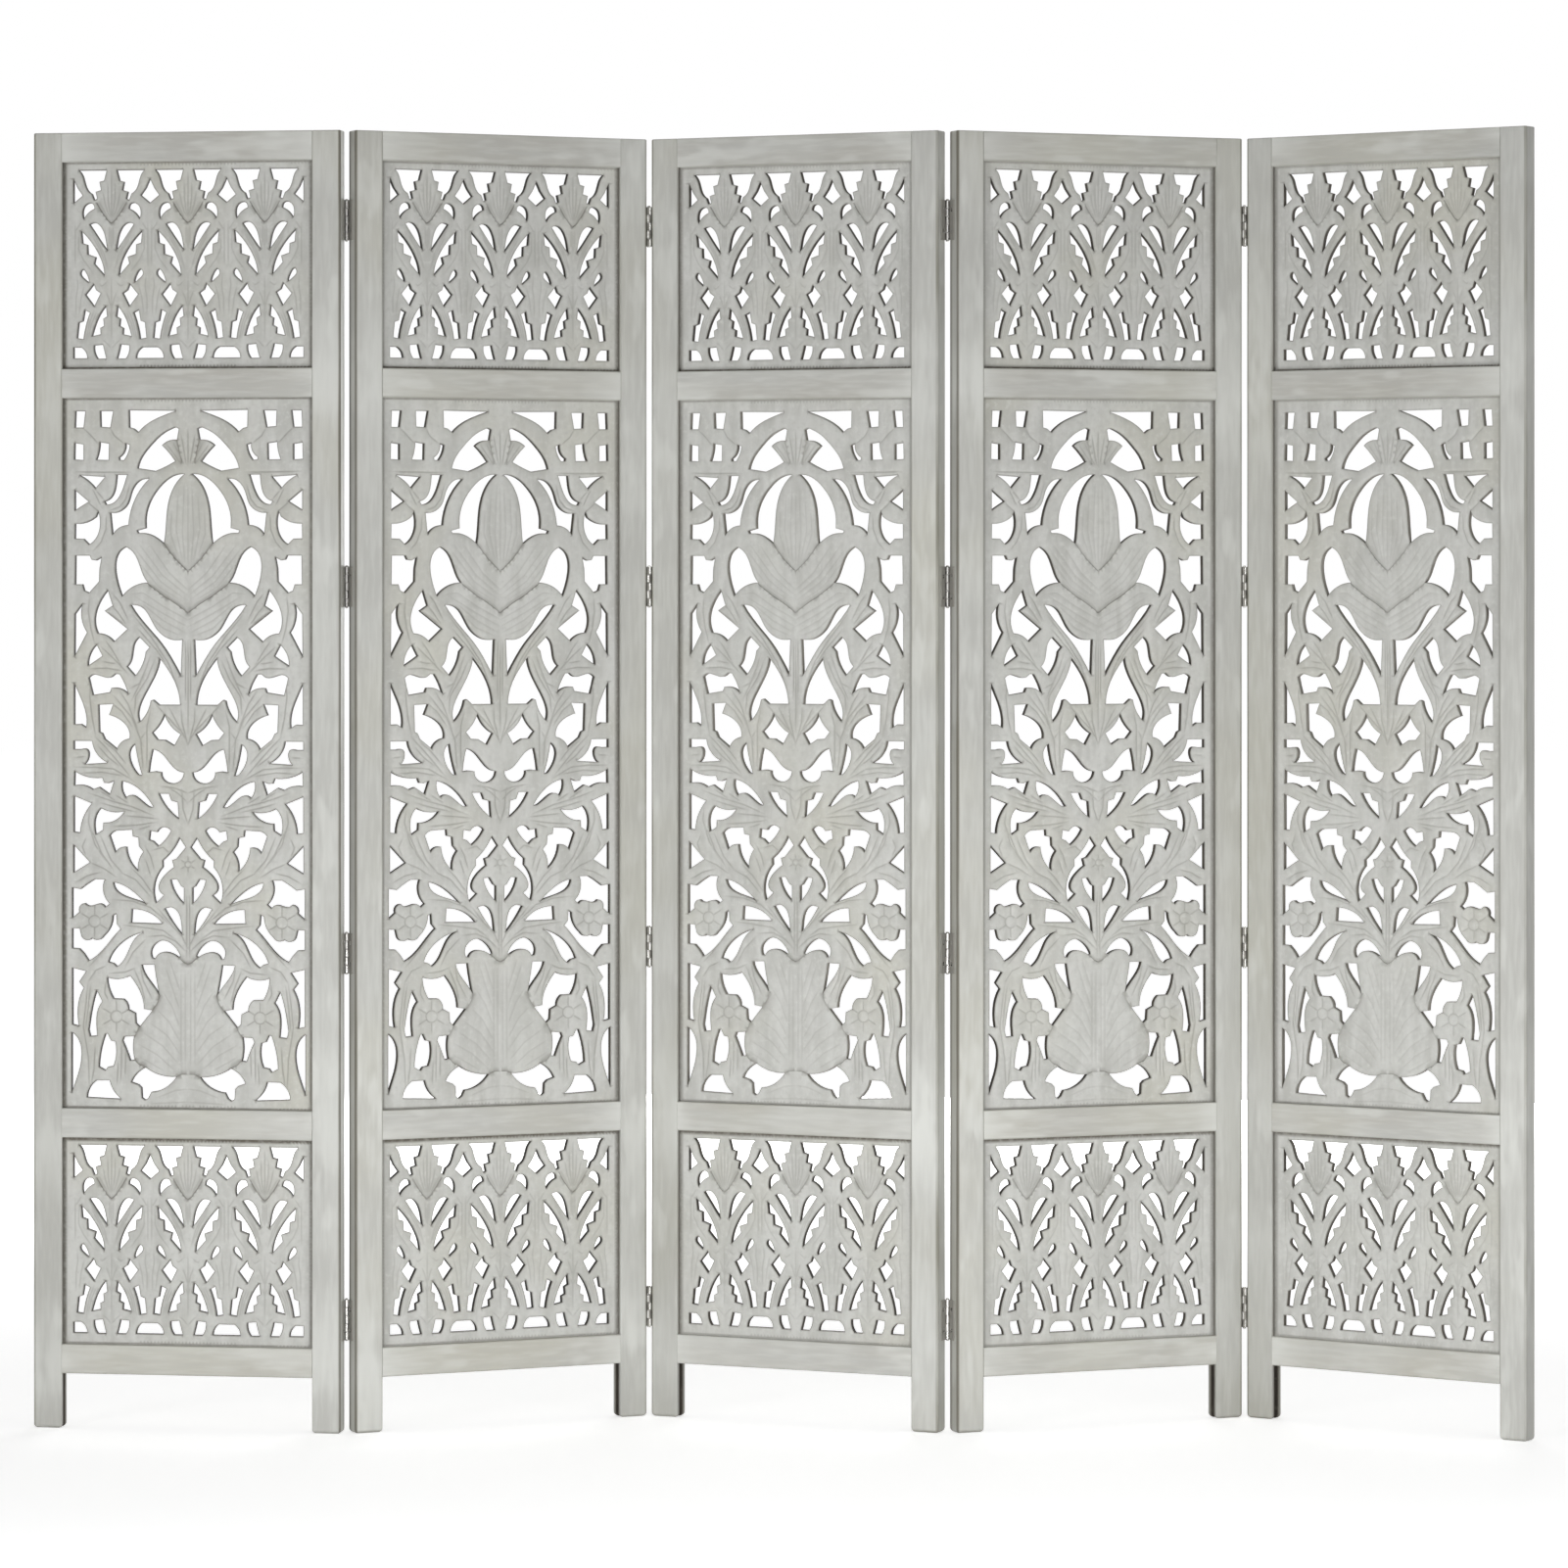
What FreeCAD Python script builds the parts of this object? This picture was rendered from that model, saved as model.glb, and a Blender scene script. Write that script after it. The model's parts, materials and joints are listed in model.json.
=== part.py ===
import FreeCAD, Part
import math
import os

# A carved wooden folding screen: hinged leaves standing in a zigzag.
# Millimetres, +Z up. The origin is on the floor, under the middle of the standing screen.
# Each leaf is modelled in its own frame: x along its width from its left edge,
# y from its front face to its back face, z up from the floor. Then it is set in its place.

# Leaf frame
LEAF_WIDTH = 400.0
LEAF_HEIGHT = 1650.0
FRAME_THICKNESS = 25.0
STILE_WIDTH = 37.0
RAIL_HEIGHT = 37.5
LEG_LENGTH = 70.0
SMALL_OPENING_HEIGHT = 263.0
EDGE_ROUNDING = 2.5
FOOT_ROUNDING = 5.0

# Panels and the groove that holds them
PANEL_THICKNESS = 9.5
PANEL_CLEARANCE = 0.25
GROOVE_DEPTH = 10.0
CARVING_BORDER = 13.0
MOTIF_COUNT = 3

# Rail tongues in the stile groove
TONGUE_SIDE_CLEARANCE = 0.1
TONGUE_END_CLEARANCE = 0.3

# Zigzag: how far each leaf is turned from the straight line, from left to right
LEAF_ANGLES_DEG = (-9.0, 23.5, -24.0, 21.0, -34.0)
LEAF_GAP = 4.0
FOLDED_GAP = 3.6

# Butt hinges
HINGES_PER_JOINT = 4
HINGE_HEIGHT = 51.0
TOP_HINGE_DROP = 113.0
BOTTOM_HINGE_RISE = 142.0
KNUCKLE_COUNT = 5
KNUCKLE_WALL = 1.3
KNUCKLE_GAP = 0.3
NOTCH_CLEARANCE = 0.3
PLATE_WIDTH = 18.0
PLATE_THICKNESS = 1.2
PIN_RADIUS = 1.3
PIN_CLEARANCE = 0.05
PIN_CAP_RADIUS = 2.2
PIN_CAP_HEIGHT = 1.6

# Countersunk screws, two in each plate
SCREW_HEAD_RADIUS = 2.7
SCREW_RADIUS = 1.5
SCREW_LENGTH = 15.0
SCREW_TIP_LENGTH = 3.0
SCREW_CLEARANCE = 0.05
SCREW_SLOT_WIDTH = 0.8
SCREW_SLOT_DEPTH = 0.5

OVERRUN = 5.0

# Places on a hinge plate and the shape of a pin cap, as shares of their own sizes
SCREW_ALONG_PLATE_SHARES = (0.24, 0.76)
SCREW_ACROSS_PLATE_SHARE = 0.62
CAP_SHOULDER_SHARE = 0.5
CAP_CROWN_SHARE = 0.6

# Worked out from the sizes above
OPENING_WIDTH = LEAF_WIDTH - 2 * STILE_WIDTH
MAIN_OPENING_HEIGHT = LEAF_HEIGHT - LEG_LENGTH - 4 * RAIL_HEIGHT - 2 * SMALL_OPENING_HEIGHT
GROOVE_WIDTH = PANEL_THICKNESS + 2 * PANEL_CLEARANCE
GROOVE_FRONT = (FRAME_THICKNESS - GROOVE_WIDTH) / 2
PANEL_FRONT = GROOVE_FRONT + PANEL_CLEARANCE
PANEL_REACH = GROOVE_DEPTH - PANEL_CLEARANCE
TONGUE_THICKNESS = GROOVE_WIDTH - 2 * TONGUE_SIDE_CLEARANCE
TONGUE_LENGTH = GROOVE_DEPTH - TONGUE_END_CLEARANCE
LOWER_OPENING_BOTTOM = LEG_LENGTH + RAIL_HEIGHT
MAIN_OPENING_BOTTOM = LOWER_OPENING_BOTTOM + SMALL_OPENING_HEIGHT + RAIL_HEIGHT
UPPER_OPENING_BOTTOM = MAIN_OPENING_BOTTOM + MAIN_OPENING_HEIGHT + RAIL_HEIGHT
MOTIF_WIDTH = (OPENING_WIDTH - 2 * CARVING_BORDER) / MOTIF_COUNT
KNUCKLE_RADIUS = PIN_RADIUS + PIN_CLEARANCE + KNUCKLE_WALL
KNUCKLE_PITCH = (HINGE_HEIGHT + KNUCKLE_GAP) / KNUCKLE_COUNT
BORE_RADIUS = PIN_RADIUS + PIN_CLEARANCE
LEAF_COUNT = len(LEAF_ANGLES_DEG)

# Carving. An outline is a ring of corners, each (across, down). A list between two corners
# holds the points that the edge curves through on its way from one to the other.

# Half of one leaf motif of a small panel, mirrored on the motif's middle line:
# across in shares of half the motif's width, down in shares of the opening's height.
SMALL_HOLE_SHARES = (
    # window under the top border, with the steps of a toothed leaf
    [(0.13, 0.038), (0.86, 0.038), [(0.72, 0.090), (0.66, 0.125)], (0.52, 0.152), (0.46, 0.182),
     (0.38, 0.176), (0.42, 0.142), (0.28, 0.134), (0.32, 0.094), (0.20, 0.088)],
    # drop under the star
    [(0.45, 0.224), [(0.54, 0.197), (0.68, 0.205), (0.76, 0.240)], (0.73, 0.275), [(0.62, 0.245)]],
    # crescent
    [(0.11, 0.428), [(0.16, 0.370), (0.24, 0.325), (0.36, 0.298)], (0.58, 0.300),
     [(0.42, 0.345), (0.26, 0.390)]],
    # toothed slit
    [(0.80, 0.330), (0.77, 0.390), (0.64, 0.398), (0.63, 0.444), (0.42, 0.458), (0.46, 0.490),
     (0.19, 0.548), [(0.24, 0.490), (0.34, 0.445), (0.52, 0.390)]],
    # small drop
    [(0.61, 0.582), [(0.66, 0.538), (0.77, 0.518), (0.82, 0.534), (0.73, 0.562)]],
    # kite
    [(0.47, 0.587), (0.57, 0.612), (0.69, 0.640), (0.46, 0.698), (0.29, 0.634), (0.41, 0.618)],
    # lower toothed slit
    [(0.15, 0.694), [(0.31, 0.735), (0.43, 0.785)], (0.52, 0.842), (0.29, 0.832), (0.30, 0.802),
     (0.20, 0.792), (0.22, 0.757), (0.12, 0.746)],
    # lower outer slit
    [(0.57, 0.728), (0.71, 0.714), (0.76, 0.768), (0.87, 0.776), (0.91, 0.850), (0.74, 0.855),
     [(0.69, 0.800)]],
    # window over the bottom border
    [(0.23, 0.882), (0.46, 0.886), [(0.45, 0.920)], (0.37, 0.950), (0.14, 0.950), [(0.19, 0.915)]],
)

# Holes between two motifs, mirrored on the line between them, and halved at the panel's ends.
# The first and last corners lie on that line.
BETWEEN_HOLE_SHARES = (
    [(1.0, 0.078), (0.89, 0.125), (0.76, 0.160), (1.0, 0.198)],
    [(1.0, 0.896), (0.80, 0.896), [(0.69, 0.915)], (0.64, 0.948), (1.0, 0.948)],
)

# Right half of a main panel, mirrored on the panel's middle line:
# across in shares of half the opening's width, down in shares of its height.
MAIN_HOLE_SHARES = (
    # corner windows over the arch
    [(0.10, 0.018), (0.475, 0.017), (0.472, 0.041), (0.44, 0.0425), (0.40, 0.048),
     [(0.31, 0.034), (0.20, 0.0245)]],
    [(0.602, 0.018), (0.706, 0.018), (0.702, 0.040), (0.625, 0.041)],
    [(0.825, 0.018), (0.905, 0.018), (0.91, 0.041), (0.84, 0.041)],
    [(0.468, 0.066), (0.503, 0.0635), [(0.515, 0.076)], (0.555, 0.0835), (0.552, 0.0868),
     (0.515, 0.0872), [(0.487, 0.079)]],
    [(0.635, 0.064), (0.71, 0.062), [(0.718, 0.075)], (0.738, 0.0865), (0.638, 0.0868)],
    [(0.84, 0.065), (0.912, 0.063), (0.915, 0.086), (0.84, 0.0868)],
    # under the outer arch, beside the crown
    [(0.075, 0.0435), [(0.10, 0.0415)], (0.13, 0.043), [(0.22, 0.052), (0.30, 0.066), (0.37, 0.082)],
     (0.405, 0.0985), (0.26, 0.1025), [(0.20, 0.098)], (0.105, 0.089), [(0.15, 0.078)],
     (0.21, 0.0665), [(0.17, 0.061)], (0.09, 0.0585)],
    # under the lobed arch, beside the top petal
    [(0.03, 0.107), [(0.13, 0.1105), (0.235, 0.126), (0.315, 0.149)], (0.342, 0.172), (0.34, 0.183),
     (0.41, 0.1865), (0.40, 0.190), [(0.31, 0.1915), (0.25, 0.197)], (0.195, 0.205),
     [(0.181, 0.185), (0.163, 0.150), (0.115, 0.125)]],
    # between the lobed arch and the corner spray
    [(0.315, 0.114), [(0.40, 0.1175), (0.455, 0.132), (0.49, 0.150), (0.54, 0.1585)], (0.625, 0.1615),
     (0.607, 0.1925), [(0.56, 0.183)], (0.48, 0.1785), [(0.455, 0.155), (0.40, 0.133)]],
    [(0.49, 0.108), (0.573, 0.108), [(0.583, 0.124), (0.615, 0.139)], (0.672, 0.1455),
     (0.66, 0.1495), [(0.59, 0.146), (0.54, 0.134), (0.51, 0.120)]],
    [(0.668, 0.111), (0.87, 0.1085), [(0.80, 0.1165)], (0.745, 0.127)],
    [(0.91, 0.129), (0.91, 0.158), (0.80, 0.1455)],
    [(0.722, 0.159), (0.74, 0.167), [(0.81, 0.1745)], (0.908, 0.177), (0.91, 0.1975), (0.84, 0.198),
     (0.795, 0.206), [(0.74, 0.197), (0.708, 0.180)]],
    # beside the upper side petal
    [(0.50, 0.2095), [(0.555, 0.217), (0.585, 0.240)], (0.53, 0.279), [(0.475, 0.269), (0.41, 0.2625)],
     (0.325, 0.2595), [(0.375, 0.243), (0.425, 0.221)]],
    [(0.695, 0.224), (0.74, 0.2285), (0.775, 0.2275), (0.79, 0.2218), (0.905, 0.2218), (0.908, 0.262),
     (0.85, 0.262), (0.835, 0.271), (0.795, 0.274), (0.715, 0.258), (0.712, 0.240)],
    # round the bud beside the lower petal
    [(0.645, 0.270), [(0.71, 0.287), (0.748, 0.308)], (0.725, 0.331), [(0.65, 0.3345)], (0.595, 0.343),
     (0.487, 0.325), (0.67, 0.2995), (0.607, 0.292)],
    # between the lower petal and the branch, down to the stem
    [(0.46, 0.2915), [(0.36, 0.316), (0.21, 0.347), (0.11, 0.375)], (0.06, 0.3915), (0.048, 0.340),
     [(0.16, 0.3385), (0.255, 0.325), (0.345, 0.2985)]],
    [(0.39, 0.3365), [(0.435, 0.347), (0.452, 0.365)], (0.49, 0.378), (0.425, 0.391), [(0.365, 0.374)],
     (0.34, 0.357), (0.31, 0.351)],
    [(0.735, 0.347), [(0.785, 0.359)], (0.805, 0.377), [(0.745, 0.370)], (0.688, 0.363)],
    [(0.848, 0.289), (0.91, 0.304), (0.913, 0.364), (0.812, 0.330), [(0.857, 0.309)]],
    # under the branch
    [(0.23, 0.366), [(0.27, 0.391), (0.345, 0.416), (0.40, 0.445)], (0.388, 0.456), [(0.335, 0.444)],
     (0.30, 0.426), (0.28, 0.4245), (0.235, 0.4315), (0.065, 0.4315), [(0.085, 0.410), (0.145, 0.387)]],
    [(0.55, 0.389), (0.585, 0.3885), (0.615, 0.393), [(0.70, 0.3915), (0.75, 0.3895)], (0.798, 0.394),
     (0.765, 0.418), (0.628, 0.414), (0.615, 0.408), [(0.55, 0.4085)], (0.48, 0.417), [(0.51, 0.402)]],
    [(0.915, 0.401), (0.915, 0.4595), (0.86, 0.459), (0.818, 0.464), [(0.825, 0.441), (0.865, 0.421)]],
    # leaves at mid height
    [(0.19, 0.445), [(0.225, 0.458)], (0.287, 0.471), (0.245, 0.4805), (0.185, 0.481), (0.112, 0.489),
     (0.062, 0.473), [(0.135, 0.4625)]],
    [(0.602, 0.431), (0.72, 0.432), (0.713, 0.470), (0.69, 0.472), (0.67, 0.480), (0.572, 0.494),
     [(0.53, 0.4835)], (0.47, 0.479), [(0.485, 0.464), (0.55, 0.4525)], (0.635, 0.446)],
    [(0.772, 0.483), (0.918, 0.483), (0.918, 0.4945), (0.86, 0.4945), [(0.805, 0.496), (0.80, 0.506)],
     (0.832, 0.5155), (0.65, 0.5135), [(0.725, 0.503)]],
    [(0.425, 0.487), [(0.468, 0.497), (0.462, 0.512)], (0.40, 0.530), (0.37, 0.531), [(0.405, 0.508)]],
    [(0.285, 0.4945), [(0.30, 0.507)], (0.315, 0.5265), (0.265, 0.525), (0.215, 0.5265),
     [(0.19, 0.538), (0.12, 0.542)], (0.035, 0.527), [(0.12, 0.5195), (0.20, 0.5025)]],
    [(0.53, 0.5395), [(0.53, 0.552)], (0.50, 0.5625), [(0.455, 0.5585), (0.40, 0.563)], (0.28, 0.5755),
     [(0.34, 0.560), (0.43, 0.546)]],
    [(0.595, 0.539), (0.64, 0.5425), (0.675, 0.542), (0.69, 0.535), [(0.78, 0.535)], (0.912, 0.5255),
     (0.915, 0.5455), [(0.84, 0.545)], (0.765, 0.551), (0.715, 0.5475), (0.63, 0.558)],
    [(0.155, 0.557), (0.235, 0.557), [(0.18, 0.574)], (0.075, 0.592), (0.085, 0.569), (0.135, 0.5665)],
    [(0.513, 0.582), [(0.62, 0.583)], (0.70, 0.5775), [(0.738, 0.587), (0.752, 0.600)], (0.742, 0.6145),
     (0.685, 0.608), (0.682, 0.598), [(0.60, 0.5955)]],
    [(0.775, 0.571), (0.918, 0.5605), (0.918, 0.611), (0.868, 0.612), [(0.848, 0.593)]],
    # round the small flower over the vase
    [(0.138, 0.609), [(0.19, 0.604)], (0.25, 0.611), (0.305, 0.609), (0.313, 0.6215), (0.28, 0.6235),
     (0.24, 0.6305), [(0.18, 0.6205)]],
    [(0.45, 0.608), (0.55, 0.609), [(0.605, 0.6115)], (0.63, 0.616), (0.583, 0.640), [(0.54, 0.6325)],
     (0.495, 0.632), [(0.475, 0.648)], (0.402, 0.6655), [(0.395, 0.650)], (0.36, 0.6385),
     (0.395, 0.631), (0.40, 0.619), (0.445, 0.617)],
    [(0.07, 0.6185), [(0.11, 0.632)], (0.205, 0.651), (0.203, 0.660), [(0.258, 0.676), (0.275, 0.692)],
     (0.258, 0.7105), (0.195, 0.6995), [(0.238, 0.689), (0.205, 0.6745)], (0.115, 0.660),
     (0.13, 0.650), (0.095, 0.648), (0.02, 0.632)],
    [(0.92, 0.629), (0.92, 0.6685), (0.79, 0.654)],
    [(0.09, 0.677), (0.14, 0.678), [(0.12, 0.690)], (0.035, 0.711), (0.035, 0.689), (0.055, 0.687)],
    # round the upper rosette
    [(0.60, 0.682), [(0.58, 0.692), (0.50, 0.7015)], (0.335, 0.7125), [(0.42, 0.698), (0.50, 0.688)]],
    [(0.672, 0.678), (0.75, 0.678), [(0.80, 0.6835)], (0.865, 0.692), (0.93, 0.690), (0.93, 0.7325),
     (0.875, 0.724), [(0.865, 0.7145)], (0.83, 0.7115), [(0.78, 0.715), (0.72, 0.712)], (0.665, 0.717),
     (0.632, 0.712), [(0.675, 0.700)]],
    [(0.578, 0.726), (0.605, 0.729), [(0.63, 0.747)], (0.68, 0.758), [(0.72, 0.7635)], (0.77, 0.761),
     [(0.82, 0.764)], (0.86, 0.757), (0.872, 0.7475), (0.93, 0.7475), (0.93, 0.775), (0.875, 0.7755),
     (0.835, 0.783), (0.80, 0.7925), [(0.72, 0.783), (0.63, 0.765)], (0.543, 0.7475), (0.572, 0.741)],
    # sprays over the vase
    [(0.45, 0.7195), (0.457, 0.7385), (0.208, 0.7395), [(0.28, 0.7275), (0.36, 0.7215)]],
    [(0.188, 0.7185), [(0.14, 0.733)], (0.048, 0.755), [(0.06, 0.734), (0.095, 0.7205)],
     (0.14, 0.7165)],
    [(0.36, 0.752), [(0.50, 0.7625), (0.59, 0.777)], (0.64, 0.794), (0.60, 0.796), (0.572, 0.8005),
     [(0.51, 0.789), (0.46, 0.770)]],
    [(0.065, 0.785), [(0.12, 0.770), (0.20, 0.7635), (0.27, 0.7695)], (0.288, 0.788), (0.265, 0.789),
     [(0.215, 0.780), (0.15, 0.780)], (0.085, 0.786)],
    # beside the vase and round the lower rosette
    [(0.272, 0.7975), (0.372, 0.798), [(0.345, 0.811), (0.28, 0.827)], (0.23, 0.841), [(0.25, 0.823)]],
    [(0.465, 0.8135), [(0.56, 0.8185)], (0.65, 0.816), [(0.635, 0.832)], (0.60, 0.8455), (0.52, 0.846),
     [(0.49, 0.852)], (0.478, 0.861), (0.425, 0.866), (0.42, 0.880), (0.39, 0.885), (0.288, 0.862),
     (0.355, 0.860), [(0.37, 0.843), (0.405, 0.829)]],
    [(0.735, 0.834), [(0.765, 0.853), (0.785, 0.872)], (0.80, 0.890), (0.788, 0.899), (0.73, 0.898),
     [(0.738, 0.880), (0.73, 0.864)], (0.69, 0.850)],
    [(0.82, 0.8075), (0.93, 0.803), (0.93, 0.8825), (0.878, 0.885), [(0.888, 0.862), (0.873, 0.845)],
     (0.838, 0.831), (0.875, 0.8225)],
    [(0.935, 0.8935), (0.935, 0.979), [(0.885, 0.953), (0.857, 0.929), (0.872, 0.907)]],
    [(0.645, 0.8955), (0.665, 0.896), [(0.70, 0.917)], (0.717, 0.942), (0.665, 0.947), (0.645, 0.942),
     (0.60, 0.9405), [(0.578, 0.924)], (0.585, 0.9065), (0.62, 0.905)],
    [(0.435, 0.8985), (0.515, 0.8995), (0.527, 0.905), [(0.495, 0.918)], (0.465, 0.9325),
     (0.43, 0.9315), [(0.441, 0.920)]],
    # beside the vase's foot
    [(0.34, 0.9425), [(0.41, 0.9505)], (0.457, 0.963), (0.40, 0.9665), (0.375, 0.971), (0.37, 0.985),
     (0.345, 0.988), (0.32, 0.985), (0.295, 0.9765), [(0.19, 0.971)], (0.095, 0.955), [(0.22, 0.953)]],
    [(0.63, 0.961), (0.735, 0.9615), [(0.79, 0.971)], (0.812, 0.985), (0.538, 0.987), [(0.60, 0.975)]],
)


def vector(x, y, z):
    return FreeCAD.Vector(x, y, z)


def box(low, high):
    """A box between two corners, each (x, y, z)."""
    sides = [b - a for a, b in zip(low, high)]
    return Part.makeBox(*sides, vector(*low))


def polygon(points):
    """A closed wire of straight edges."""
    return Part.makePolygon(points + points[:1])


# Frame pieces

def rounded_section(width, depth, rounded_side):
    """A stile's bar with the two corners on its outer side rounded: -1 rounds at x = 0, 1 at x = width."""
    section = box((0, 0, 0), (width, depth, LEAF_HEIGHT))
    outer_x = 0 if rounded_side < 0 else width
    long_edges = [e for e in section.Edges if abs(e.CenterOfMass.x - outer_x) < EDGE_ROUNDING
                  and abs(e.CenterOfMass.z - LEAF_HEIGHT / 2) < EDGE_ROUNDING]
    return section.makeFillet(EDGE_ROUNDING, long_edges)


def foot_envelope(width, depth):
    """The upright prism that a rounded foot is cut to, rounded along its two bottom edges in x."""
    low, high = FOOT_ROUNDING, width - FOOT_ROUNDING
    turn = FOOT_ROUNDING * (1 - math.sqrt(0.5))
    corners = [vector(low, -OVERRUN, 0), vector(high, -OVERRUN, 0),
               vector(width, -OVERRUN, FOOT_ROUNDING), vector(width, -OVERRUN, LEAF_HEIGHT),
               vector(0, -OVERRUN, LEAF_HEIGHT), vector(0, -OVERRUN, FOOT_ROUNDING)]
    right_turn = vector(width - turn, -OVERRUN, turn)
    left_turn = vector(turn, -OVERRUN, turn)
    edges = [
        Part.makeLine(corners[0], corners[1]),
        Part.Arc(corners[1], right_turn, corners[2]).toShape(),
        Part.makeLine(corners[2], corners[3]),
        Part.makeLine(corners[3], corners[4]),
        Part.makeLine(corners[4], corners[5]),
        Part.Arc(corners[5], left_turn, corners[0]).toShape(),
    ]
    return Part.Face(Part.Wire(edges)).extrude(vector(0, depth + 2 * OVERRUN, 0))


def turned_envelope(width, depth):
    """The same prism, rounded along the front and back bottom edges."""
    envelope = foot_envelope(depth, width)
    envelope.rotate(vector(0, 0, 0), vector(0, 0, 1), 90)
    envelope.translate(vector(width, 0, 0))
    return envelope


def stile(side):
    """A stile from floor to top; side -1 is the left one. Its groove runs out through the leg."""
    body = rounded_section(STILE_WIDTH, FRAME_THICKNESS, side)
    body = body.common(foot_envelope(STILE_WIDTH, FRAME_THICKNESS))
    body = body.common(turned_envelope(STILE_WIDTH, FRAME_THICKNESS))
    groove_start = STILE_WIDTH - GROOVE_DEPTH if side < 0 else -OVERRUN
    groove = box((groove_start, GROOVE_FRONT, -OVERRUN),
                 (groove_start + GROOVE_DEPTH + OVERRUN, GROOVE_FRONT + GROOVE_WIDTH, LEAF_HEIGHT + OVERRUN))
    body = body.cut(groove)
    if side > 0:
        body.translate(vector(LEAF_WIDTH - STILE_WIDTH, 0, 0))
    return body


def rail(bottom, grooved_sides):
    """A rail between the stiles with a tongue at each end; a groove on its top (1) or underside (-1)."""
    top = bottom + RAIL_HEIGHT
    inner_left = STILE_WIDTH
    inner_right = LEAF_WIDTH - STILE_WIDTH
    body = box((inner_left, 0, bottom), (inner_right, FRAME_THICKNESS, top))
    tongue_front = GROOVE_FRONT + TONGUE_SIDE_CLEARANCE
    tongue = box((inner_left - TONGUE_LENGTH, tongue_front, bottom),
                 (inner_right + TONGUE_LENGTH, tongue_front + TONGUE_THICKNESS, top))
    body = body.fuse(tongue)
    for groove_side in grooved_sides:
        low = top - GROOVE_DEPTH if groove_side > 0 else bottom - OVERRUN
        groove = box((inner_left - STILE_WIDTH, GROOVE_FRONT, low),
                     (inner_right + STILE_WIDTH, GROOVE_FRONT + GROOVE_WIDTH, low + GROOVE_DEPTH + OVERRUN))
        body = body.cut(groove)
    return body.removeSplitter()


# Carved panels

def curve_edge(start, through, end):
    """A straight edge, an arc through one point, or a smooth curve through several."""
    if not through:
        return Part.makeLine(start, end)
    if len(through) == 1:
        return Part.Arc(start, through[0], end).toShape()
    curve = Part.BSplineCurve()
    curve.interpolate([start] + through + [end])
    return curve.toShape()


def outline_wire(outline, place):
    """A closed wire from an outline of corners and curve points; place turns shares into a point."""
    count = len(outline)
    edges = []
    for index, corner in enumerate(outline):
        if isinstance(corner, list):
            continue
        through = []
        following = outline[(index + 1) % count]
        if isinstance(following, list):
            through = [place(*point) for point in following]
            following = outline[(index + 2) % count]
        edges.append(curve_edge(place(*corner), through, place(*following)))
    return Part.Wire(edges)


def mirrored_ring(outline):
    """A whole outline from a half whose first and last corners lie on the line across = 1."""
    ring = list(outline)
    for item in reversed(outline[1:-1]):
        if isinstance(item, list):
            ring.append([(2 - across, down) for across, down in reversed(item)])
        else:
            ring.append((2 - item[0], item[1]))
    return ring


def share_place(middle, half_width, height, side):
    """Turns shares into a point of the panel's front; side -1 mirrors it on the middle line."""
    def place(across, down):
        return vector(middle + side * across * half_width, 0, height * (1 - down))
    return place


def small_panel_holes():
    """Wires of the holes of a small panel: repeated motifs and the holes between them."""
    wires = []
    half = MOTIF_WIDTH / 2
    for number in range(MOTIF_COUNT):
        middle = (number - (MOTIF_COUNT - 1) / 2) * MOTIF_WIDTH
        left = share_place(middle, half, SMALL_OPENING_HEIGHT, -1)
        right = share_place(middle, half, SMALL_OPENING_HEIGHT, 1)
        for outline in SMALL_HOLE_SHARES:
            wires.append(outline_wire(outline, left))
            wires.append(outline_wire(outline, right))
        for outline in BETWEEN_HOLE_SHARES:
            last = number == MOTIF_COUNT - 1
            wires.append(outline_wire(outline if last else mirrored_ring(outline), right))
            if number == 0:
                wires.append(outline_wire(outline, left))
    return wires


def main_panel_holes():
    """Wires of the holes of a main panel, in mirrored pairs."""
    wires = []
    for side in (-1, 1):
        place = share_place(0, OPENING_WIDTH / 2, MAIN_OPENING_HEIGHT, side)
        wires.extend(outline_wire(outline, place) for outline in MAIN_HOLE_SHARES)
    return wires


def carved_panel(opening_height, opening_bottom, hole_wires):
    """A pierced board in the grooves round an opening, with its holes given from the opening's foot."""
    half = OPENING_WIDTH / 2 + PANEL_REACH
    low = -PANEL_REACH
    high = opening_height + PANEL_REACH
    corners = [(-half, low), (half, low), (half, high), (-half, high)]
    border = polygon([vector(x, 0, z) for x, z in corners])
    face = Part.makeFace([border] + hole_wires, "Part::FaceMakerBullseye")
    board = face.extrude(vector(0, PANEL_THICKNESS, 0))
    board.translate(vector(LEAF_WIDTH / 2, PANEL_FRONT, opening_bottom))
    return board


# Hinges

def hinge_levels():
    """Heights of the middles of the hinges of one joint."""
    lowest = BOTTOM_HINGE_RISE
    highest = LEAF_HEIGHT - TOP_HINGE_DROP
    step = (highest - lowest) / (HINGES_PER_JOINT - 1)
    return [lowest + number * step for number in range(HINGES_PER_JOINT)]


def pin_is_behind(joint):
    """Joints fold to the back and to the front in turn; the first one folds to the back."""
    return joint % 2 == 0


def pin_in_leaf(joint, edge):
    """Place of a joint's pin in the frame of the leaf whose right (1) or left (-1) edge it is on."""
    x = LEAF_WIDTH + LEAF_GAP / 2 if edge > 0 else -LEAF_GAP / 2
    y = FRAME_THICKNESS + FOLDED_GAP / 2 if pin_is_behind(joint) else -FOLDED_GAP / 2
    return x, y


def knuckle(pin_x, pin_y, foot, number, radius, clearance):
    """One length of a hinge's barrel, longer by a clearance at both ends."""
    low = foot + number * KNUCKLE_PITCH - clearance
    length = KNUCKLE_PITCH - KNUCKLE_GAP + 2 * clearance
    return Part.makeCylinder(radius, length, vector(pin_x, pin_y, low))


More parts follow.
